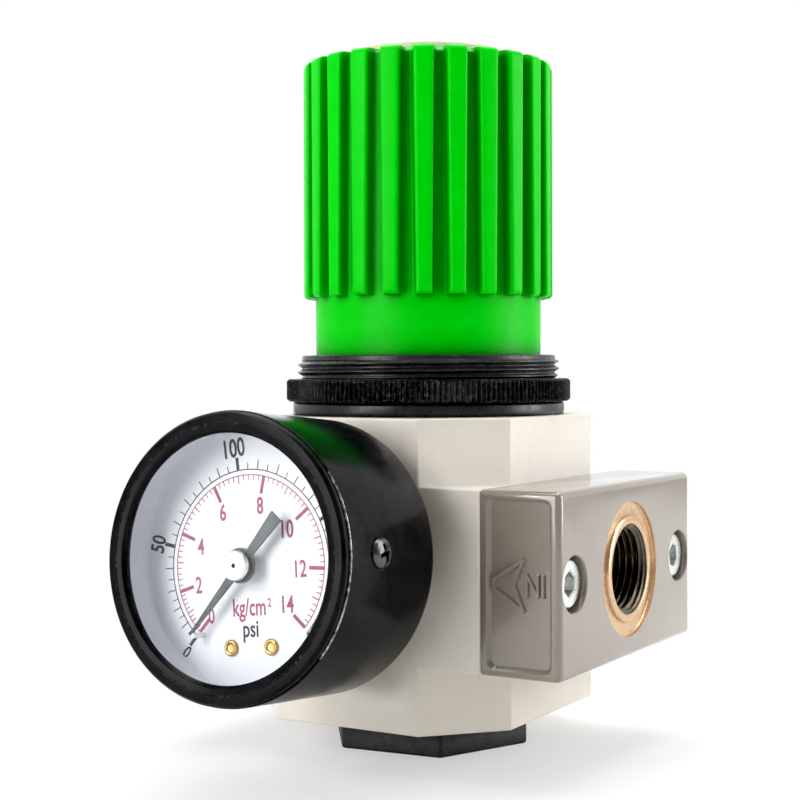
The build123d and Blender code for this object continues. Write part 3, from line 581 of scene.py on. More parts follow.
# ------------------------------------------------------------------ knob
RIBS = 24
RIB_R, GROOVE_R = 24.74, 22.42
RIB_BOTTOM, RIB_TOP = 86.7, 132.9
RIB_WIDTH_BOTTOM, RIB_WIDTH_TOP = 3.15, 4.0
RIB_TURN = radians(-1.7)
RIB_DRAFT = radians(5.0)
RIB_END_R, RIB_SHOULDER_R = 0.85, 1.3  # rounding of the rib's lower and upper ends
GROOVE_SHOULDER = 0.9                  # the groove floor draws in by this at the top
SOCKET_HALF = 8.5 / 2                  # half the hex socket's width across flats


def half_rib(crest_r, groove_r, width, crest_fillet, root_fillet):
    """(angle, radius) from the rib's centre line to the groove's centre."""
    crest_fillet = min(crest_fillet, 0.45 * (crest_r - groove_r))
    root_fillet = min(root_fillet, 0.45 * (crest_r - groove_r))
    centre_x = width / 2 - crest_fillet
    centre_y = sqrt((crest_r - crest_fillet) ** 2 - centre_x * centre_x)
    start, end = atan2(centre_x, centre_y), pi / 2 - RIB_DRAFT
    points = [(start * k / 4, crest_r) for k in range(4)]
    for k in range(6):
        turn = start + (end - start) * k / 5
        x, y = centre_x + crest_fillet * sin(turn), centre_y + crest_fillet * cos(turn)
        points.append((atan2(x, y), sqrt(x * x + y * y)))
    flank_top = Vector((x, y))
    down = Vector((sin(RIB_DRAFT), -cos(RIB_DRAFT)))
    out = Vector((cos(RIB_DRAFT), sin(RIB_DRAFT)))
    # slide down the flank until the root fillet touches the groove floor
    low, high = 0.0, 6.0
    for _ in range(40):
        middle = (low + high) / 2
        if (flank_top + down * middle + out * root_fillet).length > groove_r + root_fillet:
            low = middle
        else:
            high = middle
    centre = flank_top + down * low + out * root_fillet
    start = atan2(-out.y, -out.x)
    turn = swing(start, atan2(-centre.y, -centre.x))
    for k in range(6):
        at = start + turn * k / 5
        point = centre + Vector((cos(at), sin(at))) * root_fillet
        points.append((atan2(point.x, point.y), point.length))
    last = points[-1][0]
    for k in range(1, 5):
        points.append((last + (pi / RIBS - last) * k / 4, groove_r))
    return points


def all_round(outline):
    """Mirror a half rib about its centre line and repeat it round the knob."""
    ring = []
    for i in range(RIBS):
        centre = TAU * i / RIBS + RIB_TURN
        ring += [(centre - angle, r) for angle, r in reversed(outline[1:])]
        ring += [(centre + angle, r) for angle, r in outline[:-1]]
    return ring


def rib_row(z, crest_r, groove_r, width, crest_fillet=0.72, root_fillet=0.65, dip=0.0):
    """Ribbed ring; the groove floor lies lower than the crests by the dip."""
    outline = half_rib(crest_r, groove_r, width, crest_fillet, root_fillet)
    depth = crest_r - groove_r
    return [(r * cos(a), r * sin(a), z - dip * (1 - (r - groove_r) / depth))
            for a, r in all_round(outline)]


def rib_width(z):
    rise = (z - RIB_BOTTOM) / (RIB_TOP - RIB_BOTTOM)
    return RIB_WIDTH_BOTTOM + (RIB_WIDTH_TOP - RIB_WIDTH_BOTTOM) * rise


def build_knob():
    side = [a for a, _ in all_round(half_rib(RIB_R, GROOVE_R, RIB_WIDTH_BOTTOM, 0.62, 0.55))]
    shoulder_groove = GROOVE_R - GROOVE_SHOULDER
    top = [a for a, _ in all_round(half_rib(RIB_R - RIB_SHOULDER_R, shoulder_groove,
                                            RIB_WIDTH_TOP, 0.5, 0.5))]

    def round_row(z, r, angles=side):
        return [(r * cos(a), r * sin(a), z) for a in angles]

    def socket_row(z, grow=0.0):
        row = []
        for a in side:
            r = SOCKET_HALF / cos((a + pi / 6) % (pi / 3) - pi / 6) + grow
            row.append((r * cos(a), r * sin(a), z))
        return row

    # inside, from the blind end of the hex socket outwards and down: (radius, z)
    rows = [[(0, 0, 128.2)], socket_row(128.2), socket_row(116.9), socket_row(116.5, 0.4)]
    for r, z in ((7.6, 116.5), (8.0, 116.9), (8.0, 127.9), (8.6, 128.5), (19.7, 128.5),
                 (20.2, 128.0), (20.2, 100.0), (20.2, 69.9), (20.5, 69.6)):
        rows.append(round_row(z, r))
    # plain skirt with a rounded rim
    for k in range(4):
        t = k / 3 * pi / 2
        rows.append(round_row(69.6 + 0.35 * (1 - cos(t)), 21.95 + 0.35 * sin(t)))
    for z in (74.0, 78.0, 82.0, 85.0):
        rows.append(round_row(z, 22.30 + 0.12 * (z - 70) / 16.0))
    rows.append(round_row(RIB_BOTTOM, GROOVE_R))
    # rounded lower ends of the ribs; the first row clears the skirt's last
    for k in range(7):
        t = k / 6 * pi / 2
        z = RIB_BOTTOM + (RIB_END_R * (1 - cos(t)) if k else 0.001)
        rows.append(rib_row(z, RIB_R - RIB_END_R + RIB_END_R * sin(t), GROOVE_R,
                            rib_width(z)))
    # straight ribs
    straight_bottom = RIB_BOTTOM + RIB_END_R
    for k in range(1, 12):
        z = straight_bottom + (RIB_TOP - RIB_SHOULDER_R - straight_bottom) * k / 11
        rows.append(rib_row(z, RIB_R, GROOVE_R, rib_width(z)))
    # rounded shoulder
    for k in range(1, 8):
        t = k / 7 * pi / 2
        rows.append(rib_row(RIB_TOP - RIB_SHOULDER_R + RIB_SHOULDER_R * sin(t),
                            RIB_R - RIB_SHOULDER_R + RIB_SHOULDER_R * cos(t),
                            shoulder_groove + GROOVE_SHOULDER * cos(t), RIB_WIDTH_TOP,
                            crest_fillet=0.6, root_fillet=0.5, dip=0.55 * sin(t)))
    # ribs run out on the top: crest radius, groove radius, height over the ribs, dip
    for crest_r, groove_r, up, dip in ((22.6, 21.3, 0.02, 0.5), (21.6, 20.9, 0.03, 0.35)):
        rows.append(rib_row(RIB_TOP + up, crest_r, groove_r, RIB_WIDTH_TOP - 0.1,
                            crest_fillet=0.3, root_fillet=0.3, dip=dip))
    # raised collar round the cap: radius, height over the ribs
    for r, up in ((20.5, 0.06), (19.6, 0.22), (18.6, 0.50), (17.6, 0.66), (16.9, 0.70),
                  (16.62, 0.60), (16.5, 0.35), (16.5, 131.4 - RIB_TOP)):
        rows.append(round_row(RIB_TOP + up, r, top))
    rows.append([(0, 0, 131.4)])
    make("knob_shell", grid(rows), "knob", "knob_green", "knob", angle=38, weld=2e-4)


def build_knob_cap():
    sphere_r = 43.0
    dome = [(r, CAP_TOP - sphere_r + sqrt(sphere_r ** 2 - r * r))
            for r in (14.5, 13, 11.5, 10, 8.5, 7, 5.5, 4, 2.5, 1.2)]
    profile = [(0, 131.42), (16.4, 131.42, 0.3), (16.4, CAP_TOP - 3.25, 0.9),
               *dome, (0, CAP_TOP)]
    make("knob_cap_dome", turned(profile, 128, seg=6), "knob", "cap_cream", "knob_cap")


build_knob()
build_knob_cap()


# ------------------------------------------------------------------ bonnet
def build_bonnet():
    """Black sleeve with an outside thread and two keys in its bore."""
    crest_r, root_r, pitch = 26.0, 25.12, 1.5
    thread_bottom, thread_top = 71.0, 74.5
    step = pitch / 14
    count = int((thread_top - thread_bottom) / step)
    run_out = thread_bottom + step * count
    # (radius, z): up... round the flange, the thread and back down the bore
    profile = [
        (15.5, 108.0), (15.5, 63.5), (19.5, 63.5), (19.5, 57.5), (23.95, 57.5),
        (23.95, 63.9), (26.45, 63.9), (26.75, 64.0), (26.92, 64.3), (26.95, 64.7),
        (26.95, 65.7), (26.88, 66.05), (26.65, 66.3), (26.2, 66.4), (25.11, 66.42),
        (25.11, 70.95),
        *[(crest_r, thread_bottom + step * i) for i in range(1, count + 1)],
        (25.30, run_out + 0.12), (25.22, run_out + 0.35), (25.20, 75.25), (25.08, 75.42),
        (24.85, 75.5), (23.2, 75.5), (22.98, 75.4), (22.9, 75.2), (22.9, 69.3),
        (22.6, 69.0), (19.7, 69.0), (19.4, 69.3), (19.4, 110.8), (19.1, 112.2),
        (18.3, 113.3), (16.6, 114.0), (5.3, 114.0), (5.0, 113.7), (5.0, 108.0)]

    def radius_at(r, z, angle):
        if r != crest_r:
            return r
        fade = clamp((z - 70.95) / 0.7) * clamp((75.0 - z) / 0.7)
        return root_r + (crest_r - root_r) * thread_wave(z, angle, pitch, flat=0.14) * fade

    keys = [prism(rectangle(*sorted((s * 14.3, s * 16.2)), -1.5, 1.5), 66.0, 108.4)
            for s in (1, -1)]
    bm = boolean(lathe(profile, 256, radius_at), keys, "UNION")
    make("bonnet_shell", bm, "housing", "black_plastic", "bonnet", angle=40)


build_bonnet()


# ------------------------------------------------------------------ knurled panel nut
def build_nut():
    teeth, outer_r, depth = 176, 28.19, 0.34
    # (radius, z)
    profile = [
        (25.19, 66.95), (25.69, 66.45), (27.55, 66.45), (27.78, 66.55), (outer_r, 66.95),
        (outer_r, 67.6), (outer_r, 69.6), (outer_r, 70.40), (27.78, 70.80), (27.55, 70.9),
        (25.69, 70.9), (25.19, 70.4)]

    def radius_at(r, z, angle):
        if r != outer_r:
            return r
        valley = abs(2 * ((angle / TAU * teeth) % 1.0) - 1)
        return outer_r - depth * clamp(valley * 1.15 - 0.1)

    make("panel_nut_ring", lathe(profile, teeth * 4, radius_at), "panel_nut", "nut_black",
         "panel_nut", angle=25)


build_nut()

# ------------------------------------------------------------------ port plates
PORT_AXIS = along_x(0, PORT_Z)
# letter: width, strokes as (x, y) polylines in a unit box
LETTERS = {
    "I": (0.0, [[(0, 0), (0, 1)]]),
    "N": (1.0, [[(0, 0), (0, 1), (1, 0), (1, 1)]]),
    "O": (1.0, [[(0.0, 0.12), (0.0, 0.88), (0.25, 1.0), (0.75, 1.0), (1.0, 0.88),
                 (1.0, 0.12), (0.75, 0.0), (0.25, 0.0), (0.0, 0.12)]]),
    "U": (1.0, [[(0.0, 1.0), (0.0, 0.15), (0.25, 0.0), (0.75, 0.0), (1.0, 0.15),
                 (1.0, 1.0)]]),
    "T": (1.0, [[(0.0, 1.0), (1.0, 1.0)], [(0.5, 1.0), (0.5, 0.0)]]),
}
LETTER_HEIGHT, LETTER_WIDTH, LETTER_GAP = 3.6, 2.1, 0.95


def word_strokes(word):
    """Straight strokes of a word, centred and reading along +x."""
    strokes, x = [], 0.0
    for letter in word:
        width, lines = LETTERS[letter]
        for line in lines:
            points = [(x + px * LETTER_WIDTH, py * LETTER_HEIGHT) for px, py in line]
            strokes += zip(points, points[1:])
        x += width * LETTER_WIDTH + LETTER_GAP
    total = x - LETTER_GAP
    return [[(px - total / 2, py - LETTER_HEIGHT / 2) for px, py in s] for s in strokes]


def end_face(sy):
    """Frame of the end face at sy * Y: local x along the face, y up, z outwards."""
    return Matrix(((-sy, 0, 0, 0), (0, 0, sy, sy * PLATE_HALF_Y), (0, 1, 0, 0),
                   (0, 0, 0, 1)))


def pocket_tool(sy):
    """Cutter for the recessed panel with sloped walls in an end face."""
    x0, x1 = sorted((-sy * (PLATE_BACK_X + 1.25), -sy * (PLATE_FACE_X - 1.75)))
    border = 1.35
    rings = []
    # inset from the mouth, corner radius, local z: floor, mouth, clear of the face
    for inset, radius, z in ((0.62, 1.05, -0.85), (0.0, 1.5, -0.10), (-0.55, 1.95, 0.6)):
        outline = rectangle(x0 + inset, x1 - inset, PLATE_BOTTOM + (border + inset),
                            PLATE_TOP - (border + inset))
        outline = fillet([(x, y, radius) for x, y in outline], seg=6)
        rings.append([(x, y, z) for x, y in outline])
    tool = capped(rings)
    tool.transform(end_face(sy))
    return tool


def port_tools():
    """Ring recess, threaded bore, rounded lip shoulder and back groove of the port."""
    face = PLATE_FACE_X
    recess = turned([(9.95, face + 0.5), (9.98, face - 0.72, 0.12),
                     (12.45, face - 0.72, 0.25), (12.55, face - 0.06, 0.1),
                     (12.95, face + 0.5)], 160, seg=4, closed=True, matrix=PORT_AXIS)

    crest_r, root_r, pitch = 7.475, 8.30, 1.337
    step = pitch / 12
    start, end = PLATE_BACK_X - 0.8, face - 0.80
    count = int((end - start) / step)
    profile = [(0, start - 0.2), (crest_r, start - 0.2),
               *[(crest_r, start + step * i) for i in range(count + 1)],
               (7.9, start + step * count + 0.08), (8.30, face - 0.50),
               (8.36, face - 0.22), (8.50, face - 0.06), (8.75, face + 0.02),
               (8.8, face + 0.3), (0, face + 0.3)]

    def radius_at(r, z, angle):
        # the cutter is widest where the groove is deepest
        if r != crest_r:
            return r
        fade = clamp((z - (start + 0.4)) / 0.8) * (1.0 if z < end - 0.2 else 0.85)
        return crest_r + (root_r - crest_r) * thread_wave(z, angle, pitch, flat=0.12) * fade

    thread = lathe(profile, 160, radius_at, closed=False, matrix=PORT_AXIS)
    shoulder = lathe([(9.30, face + 0.02), (9.62, face - 0.05), (9.86, face - 0.20),
                      (9.97, face - 0.42), (10.3, face - 0.42), (10.3, face + 0.4),
                      (9.30, face + 0.4)], 160, matrix=PORT_AXIS)
    groove = lathe([(10.4, PLATE_BACK_X - 0.5), (12.6, PLATE_BACK_X - 0.5),
                    (12.6, PLATE_BACK_X + 1.4), (10.4, PLATE_BACK_X + 1.4)], 96,
                   matrix=PORT_AXIS)
    return [recess, thread, shoulder, groove]


def screw_hole_tools(sy):
    face = PLATE_FACE_X
    axis = along_x(sy * PLATE_SCREW_Y, PORT_Z)
    counterbore = [(0, face - 6.0), (4.95, face - 6.0, 0.2), (4.95, face - 0.25),
                   (5.2, face + 0.02), (5.6, face + 0.4), (0, face + 0.4)]
    return [turned(counterbore, 96, seg=3, matrix=axis),
            cylinder(2.75, PLATE_BACK_X - 1, face, 48, axis)]


def flow_marks(side, sy):
    """Raised arrow and direction word on a pocket floor."""
    # the arrow points towards the body on the inlet, away from it on the outlet
    if side > 0:
        tip, back, notch, word_x = 30.4, 36.0, 34.2, 38.25
        strokes = [[(-x, -y) for x, y in s] for s in word_strokes("IN")]
    else:
        tip, back, notch, word_x = 37.9, 32.3, 34.1, 29.9
        strokes = [[(y * 0.8, -x * 0.8) for x, y in s] for s in word_strokes("OUT")]
    arrow = [(tip, 0.85), (back, 4.35), (notch, 0.0), (back, -4.35), (tip, -0.85)]
    marks = []
    for a, b in zip(arrow, arrow[1:] + arrow[:1]):
        line = bar((-sy * a[0], a[1]), (-sy * b[0], b[1]), width=0.95, overrun=0.40)
        marks.append(ridge(line, -0.90, -0.16, inset=0.26))
    for a, b in strokes:
        centre = -sy * word_x
        line = bar((centre + a[0], a[1]), (centre + b[0], b[1]), width=0.82, overrun=0.38)
        marks.append(ridge(line, -0.90, -0.20, inset=0.22))
    for mark in marks:
        mark.transform(end_face(sy) @ Matrix.Translation((0, PORT_Z, 0)))
    return marks


def build_plate(side, name):
    """Plate drawn on the +X side; side -1 turns it half round the z axis."""
    bm = prism(rectangle(PLATE_BACK_X, PLATE_FACE_X, -PLATE_HALF_Y, PLATE_HALF_Y),
               PLATE_BOTTOM, PLATE_TOP)
    bevel(bm, 1.15, seg=6,
          pick=lambda e: (e.verts[0].co.x + e.verts[1].co.x) / 2 > PLATE_BACK_X + 0.1)
    bevel(bm, 0.18, seg=2,
          pick=lambda e: max(v.co.x for v in e.verts) < PLATE_BACK_X + 0.01)
    tools = [pocket_tool(-1), pocket_tool(1), *port_tools(),
             *screw_hole_tools(1), *screw_hole_tools(-1)]
    bm = boolean(bm, tools)
    bm = boolean(bm, flow_marks(side, -1) + flow_marks(side, 1), "UNION")
    if side < 0:
        bm.transform(Matrix.Rotation(pi, 4, "Z"))
    obj = make(name + "_casting", bm, "housing", "taupe_zinc", name, angle=28, weld=5e-5)

    def port_r(point):
        return sqrt(point.y ** 2 + (point.z - PORT_Z) ** 2)

    paint(obj, "port_machined",
          lambda p: port_r(p) < 12.62 and side * p.x > PLATE_FACE_X - 1.4)
    # painted shade: the thread inside the bore gets the darkened thread colour
    paint(obj, "bore_thread_painted_shade",
          lambda p: port_r(p) < 8.40 and PLATE_BACK_X + 0.1 < side * p.x < PLATE_FACE_X - 0.20)


def hexagon(across_flats, turn):
    radius = across_flats / sqrt(3)
    return [(radius * cos(radians(turn) + TAU * i / 6),
             radius * sin(radians(turn) + TAU * i / 6)) for i in range(6)]


def build_plate_screws(side, name):
    """Two socket-head screws."""
    head = PLATE_FACE_X - 1.0
    profile = [(0, 17.8), (1.9, 17.8), (2.48, 18.5), (2.48, head - 5.0),
               (4.25, head - 5.0, 0.15), (4.25, head, 0.42), (0, head)]
    screws = []
    for sy, turn in ((1, 11.0), (-1, -4.0)):
        socket, mouth = hexagon(4.0, turn), hexagon(4.5, turn)
        tool = capped([[(x, y, head + up) for x, y in outline] for outline, up in
                       ((socket, -2.6), (socket, -0.25), (mouth, 0.02), (mouth, 0.4))])
        screw = boolean(turned(profile, 96, seg=5), [tool])
        screw.transform(along_x(sy * PLATE_SCREW_Y, PORT_Z))
        screws.append(screw)
    bm = join(screws)
    if side < 0:
        bm.transform(Matrix.Rotation(pi, 4, "Z"))
    make(name + "_cap", bm, "housing", "zinc_steel", name, angle=30)


build_plate(1, "inlet_port_plate")
build_plate(-1, "outlet_port_plate")
build_plate_screws(1, "inlet_plate_screws")
build_plate_screws(-1, "outlet_plate_screws")

# ------------------------------------------------------------------ gauge case and window
CASE_SCREW_ANGLES = (4.9, 124.9, 244.9)
CASE_SCREW_Z = 27.1


def case_screw_axis(angle):
    return Matrix.Rotation(radians(angle), 4, "Z") @ along_x(0, CASE_SCREW_Z)


def build_case():
    profile = [(6.0, 8.9), (24.3, 8.9, 1.75), (24.3, 35.88, 0.22), (23.3, 35.9),
               (23.3, 36.4), (22.7, 36.4), (22.7, 10.4, 1.4), (6.0, 10.4)]
    seat = [(0, 23.9), (2.70, 23.9, 0.1), (2.70, 24.15), (3.25, 24.7), (0, 24.7)]
    tools = []
    for angle in CASE_SCREW_ANGLES:
        axis = case_screw_axis(angle)
        tools.append(cylinder(1.25, 21.0, 26.0, 32, axis))
        tools.append(turned(seat, 64, seg=3, matrix=axis))
    bm = boolean(turned(profile, 192, seg=8, closed=True), tools)
    obj = make("gauge_case_shell", bm, "housing", "gauge_black", "gauge_case", angle=30,
               matrix=GAUGE)

    def on_seam(point):
        """The +X stretch of the rim next to the bezel, the lit stretch that gets a painted
        highlight.
        """
        p = TO_GAUGE @ point
        return p.z > 35.60 and sqrt(p.x ** 2 + p.y ** 2) > 23.9 and p.x > 14 and abs(p.y) < 15

    # painted highlight: lighter metal along the lit stretch of the rim seam
    paint(obj, "painted_seam_glint", on_seam)


def build_bezel():
    profile = [
        (23.32, 35.92), (24.02, 35.92, 0.08), (24.05, 36.9, 0.25), (23.55, 37.48, 0.30),
        (22.25, 37.50, 0.08), (22.1, 37.38, 0.05), (21.95, 37.46, 0.12),
        (20.95, 37.28, 0.5), (20.5, 36.7, 0.15), (20.5, 36.2), (22.6, 36.2),
        (22.6, 36.42), (23.32, 36.42)]
    make("gauge_bezel_ring", turned(profile, 192, seg=6, closed=True), "housing",
         "gauge_black", "gauge_bezel", angle=40, matrix=GAUGE)


def build_window():
    profile = [(0, 34.6), (22.6, 34.6, 0.1), (22.6, 36.2, 0.1), (0, 36.2)]
    make("gauge_window_disc", turned(profile, 128, seg=2), "housing", "window",
         "gauge_window", matrix=GAUGE)


build_case()
build_bezel()
build_window()


# ------------------------------------------------------------------ dial
def polar(r, clockwise):
    """Point at a radius from the pointer axis, in degrees clockwise from up."""
    return (PIVOT_X + r * sin(radians(clockwise)), PIVOT_Y + r * cos(radians(clockwise)))


RIVETS = [polar(14.2, -169.3), polar(14.2, 157.2)]
STOP_PIN = polar(15.1, POINTER_ANGLE - 2.75)


def build_dial():
    profile = [(0, 28.3), (22.6, 28.3), (22.6, 34.0, 0.1), (22.1, 34.0, 0.1),
               (22.1, DIAL_Z, 0.5), (0, DIAL_Z)]
    # radius, place, segments
    holes = [(1.2, (PIVOT_X, PIVOT_Y), 32), (0.46, STOP_PIN, 24),
             *[(0.72, place, 24) for place in RIVETS]]
    tools = [cylinder(r, 28, 29.5, count, Matrix.Translation((*place, 0)))
             for r, place, count in holes]
    bm = boolean(turned(profile, 160, seg=6), tools)
    make("gauge_dial_tray", bm, "housing", "dial_white", "gauge_dial", angle=30,
         matrix=GAUGE)


build_dial()

# kg/cm2 value, degrees clockwise from up
KG_ANGLES = [(0, -141.2), (2, -110.7), (4, -72.6), (6, -32.6), (8, 8.1), (10, 48.4),
             (12, 88.4), (14, 128.3)]
KG_PER_PSI = 0.0703
INK_LOW, INK_HIGH = DIAL_Z - 0.01, DIAL_Z + 0.03
TEXT_TURN = -6.5


def kg_angle(value):
    """Angle between the measured marks; past the last it carries on straight."""
    for (low, low_angle), (high, high_angle) in zip(KG_ANGLES, KG_ANGLES[1:]):
        if value <= high:
            break
    return low_angle + (high_angle - low_angle) * (value - low) / (high - low)


def psi_angle(value):
    return kg_angle(value * KG_PER_PSI)


def arc(r, width, start, end):
    seg = 160
    bm = bmesh.new()
    inner, outer = r - width / 2, r + width / 2
    top_out, top_in, low_out, low_in = [
        [bm.verts.new((*polar(radius, start + (end - start) * i / seg), z))
         for i in range(seg + 1)]
        for radius, z in ((outer, INK_HIGH), (inner, INK_HIGH),
                          (outer, INK_LOW), (inner, INK_LOW))]
    for i in range(seg):
        for a, b in ((top_in, top_out), (low_out, low_in),
                     (top_out, low_out), (low_in, top_in)):
            bm.faces.new((a[i], b[i], b[i + 1], a[i + 1]))
    bm.faces.new((top_in[0], low_in[0], low_out[0], top_out[0]))
    bm.faces.new((top_out[-1], low_out[-1], low_in[-1], top_in[-1]))
    return bm


def tick(inner, outer, width, angle):
    line = bar(polar(inner, angle), polar(outer, angle), width, overrun=0.0)
    return prism(line[::-1], INK_LOW, INK_HIGH)


def lettering(text, height, x, y, turn, squeeze, weight):
    """Flat raised text centred at x, y, turned clockwise by degrees."""
    extrude = 0.02
    curve = bpy.data.curves.new("t", "FONT")
    curve.body = text
    curve.align_x = "CENTER"
    curve.align_y = "CENTER"
    curve.resolution_u = 5
    curve.fill_mode = "BOTH"
    curve.extrude = extrude
    curve.offset = weight
    obj = add_object("t", curve)
    mesh = evaluated_mesh(obj)
    bm = bmesh.new()
    bm.from_mesh(mesh)
    bpy.data.objects.remove(obj)
    bpy.data.curves.remove(curve)
    bpy.data.meshes.remove(mesh)
    bmesh.ops.remove_doubles(bm, verts=bm.verts, dist=1e-5)
    xs = [v.co.x for v in bm.verts]
    ys = [v.co.y for v in bm.verts]
    centre = Vector(((max(xs) + min(xs)) / 2, (max(ys) + min(ys)) / 2, 0))
    scale = height / 0.70
    thickness = (INK_HIGH - INK_LOW) / (2 * extrude)
    bm.transform(Matrix.Translation((x, y, (INK_LOW + INK_HIGH) / 2))
                 @ Matrix.Rotation(-radians(turn), 4, "Z")
                 @ Matrix.Diagonal((scale * squeeze, scale, thickness, 1))
                 @ Matrix.Translation(-centre))
    return bm


def pivot_text(text, height, x, y, squeeze, weight):
    """Text placed from the pointer axis, with the dial's common turn."""
    return lettering(text, height, PIVOT_X + x, PIVOT_Y + y, TEXT_TURN, squeeze, weight)


def build_kg_scale():
    """Inner red scale, with a tick every 0.2 kg/cm2."""
    marks = [arc(15.15, 0.17, kg_angle(0) - 0.3, kg_angle(14) + 0.3)]
    for i in range(71):
        inner, width = 14.25, 0.17
        if i % 10 == 0:
            inner, width = 12.15, 0.62
        elif i % 5 == 0:
            inner, width = 13.75, 0.20
        marks.append(tick(inner, 15.1, width, kg_angle(i * 0.2)))
    # value, x, y, height
    for value, x, y, height in (
            (0, -7.25, -8.95, 2.5), (2, -10.29, -3.96, 2.75), (4, -10.3, 2.55, 2.75),
            (6, -6.0, 8.55, 2.75), (8, 1.64, 10.05, 2.75), (10, 7.45, 6.45, 2.9),
            (12, 10.5, 0.10, 2.75), (14, 8.30, -5.84, 2.8)):
        marks.append(pivot_text(str(value), height, x, y, squeeze=0.72, weight=0.018))
    marks.append(pivot_text("kg/cm", 2.9, x=0.55, y=-7.35, squeeze=0.70, weight=0.014))
    marks.append(pivot_text("2", 1.45, x=4.55, y=-5.85, squeeze=0.75, weight=0.018))
    make("dial_scale_red", join(marks), "housing", material="ink_red", angle=30,
         matrix=GAUGE, weld=0)


def build_psi_scale():
    """Outer black scale, with a tick every 5 psi."""
    marks = [arc(16.05, 0.19, psi_angle(0) - 0.3, psi_angle(200) + 0.3)]
    for value in range(0, 201, 5):
        outer, width = 17.2, 0.17
        if value % 50 == 0:
            outer, width = 18.25, 0.62
        elif value % 10 == 0:
            outer, width = 17.75, 0.19
        marks.append(tick(16.1, outer, width, psi_angle(value)))
    # value, radius, height, degrees clockwise of its tick
    for value, r, height, shift in (
            (0, 19.6, 2.3, -0.8), (50, 19.75, 2.9, -0.8), (100, 20.0, 3.1, -0.8),
            (150, 19.6, 2.8, -0.8), (200, 19.3, 2.6, 0.6)):
        angle = psi_angle(value)
        marks.append(lettering(str(value), height, *polar(r, angle + shift), angle,
                               squeeze=0.74, weight=0.018))
    marks.append(pivot_text("psi", 2.75, x=1.1, y=-10.95, squeeze=0.78, weight=0.016))
    make("dial_scale_black", join(marks), "housing", material="ink_black", angle=30,
         matrix=GAUGE, weld=0)


def build_rivets():
    profile = [
        (0, 26.8), (0.70, 26.8), (0.70, 29.0), (1.42, 29.0, 0.12), (1.40, 29.30, 0.20),
        (1.05, 29.52, 0.20), (0.80, 29.40, 0.08), (0.72, 29.16, 0.05), (0, 29.14)]
    rivets = [turned(profile, 48, seg=4, matrix=Matrix.Translation((*place, 0)))
              for place in RIVETS]
    make("dial_rivet_pair", join(rivets), "housing", "brass", "dial_rivets", angle=35,
         matrix=GAUGE)


def build_stop_pin():
    profile = [(0, 27.8), (0.75, 27.8), (0.75, 28.3), (0.45, 28.3), (0.45, 31.9, 0.2),
               (0, 31.9)]
    bm = turned(profile, 32, seg=4, matrix=Matrix.Translation((*STOP_PIN, 0)))
    make("zero_stop_post", bm, "housing", "zinc_steel", "zero_stop_pin",
         material="hub_silver", matrix=GAUGE)


build_kg_scale()
build_psi_scale()
build_rivets()
build_stop_pin()


# ------------------------------------------------------------------ pointer
def build_pointer():
    """Tapered blade and wider tail on a ring, drawn along +x."""
    outline = [(15.6, 0.20), (15.6, -0.20), (2.6, -0.80), (-2.6, -0.70), (-10.9, -1.23),
               (-10.9, 1.23), (-2.6, 0.70), (2.6, 0.80)]
    low, high = 31.2, 31.6
    bm = boolean(prism(outline[::-1], low, high), [cylinder(2.95, low, high, 64)], "UNION")
    bm = boolean(bm, [cylinder(2.02, 30.5, 32.5, 48)])
    bevel(bm, 0.07, seg=2, angle=50)
    bm.transform(Matrix.Translation((PIVOT_X, PIVOT_Y, 0))
                 @ Matrix.Rotation(radians(90.0 - POINTER_ANGLE), 4, "Z"))
    make("pointer_blade", bm, "pointer", "pointer_grey", "pointer", angle=30, matrix=GAUGE)


def build_hub():
    """Turned cap with a small dark dimple in the middle."""
    profile = [
        (0, 33.05), (0.34, 33.05), (0.40, 33.40, 0.05), (2.45, 33.40, 0.25),
        (2.45, 32.4, 0.12), (2.0, 32.3), (2.0, 30.4, 0.15), (0.71, 30.4), (0.71, 33.0),
        (0, 33.0)]
    bm = turned(profile, 64, seg=5, matrix=Matrix.Translation((PIVOT_X, PIVOT_Y, 0)))
    obj = make("pointer_hub_cap", bm, "pointer", "hub_silver", "pointer_hub", angle=35,
               matrix=GAUGE)
    pivot = Vector((PIVOT_X, PIVOT_Y))
    paint(obj, "hub_dark", lambda p: ((TO_GAUGE @ p).xy - pivot).length < 0.41)


def build_case_screws():
    """Cross-slotted screws round the side of the case."""
    # (radius, distance from the gauge axis)
    profile = [
        (0, 22.75), (1.0, 22.75), (1.2, 22.95), (1.2, 23.92), (2.40, 23.92), (2.52, 24.08),
        (2.50, 24.50), (2.28, 24.90), (1.7, 25.20), (0.9, 25.34), (0, 25.38)]
    screws = []
    for angle in CASE_SCREW_ANGLES:
        slots = []
        for k in range(2):
            slot = frustum(rectangle(-1.0, 1.0, -0.24, 0.24),
                           rectangle(-1.85, 1.85, -0.42, 0.42), 24.25, 25.6)
            slot.transform(Matrix.Rotation(radians(20) + k * pi / 2, 4, "Z"))
            slots.append(slot)
        screw = boolean(lathe(profile, 64, closed=False), slots)
        screw.transform(case_screw_axis(angle))
        screws.append(screw)
    make("case_screw_set", join(screws), "housing", "gauge_black", "case_screws",
         material="screw_black", angle=30, matrix=GAUGE)


build_pointer()
build_hub()
build_case_screws()


# ------------------------------------------------------------------ flexible pieces
def flexible(node, slot):
    """Copy of a CAD piece that changes shape between the housing and a moving body."""
    bm = bmesh.new()
    bm.from_mesh(NODES[node].data)
    bmesh.ops.remove_doubles(bm, verts=bm.verts, dist=1e-7)
    mesh = bpy.data.meshes.new(node + "_flex")
    bm.to_mesh(mesh)
    bm.free()
    obj = add_object(node + "_flex", mesh)
    set_only_material(mesh, MATERIALS[slot])
    shade(obj, 35)
    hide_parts(node)
    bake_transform(obj)


flexible("adjusting_spring", "spring_steel")
flexible("valve_spring", "spring_steel")
flexible("diaphragm", "diaphragm_rubber")


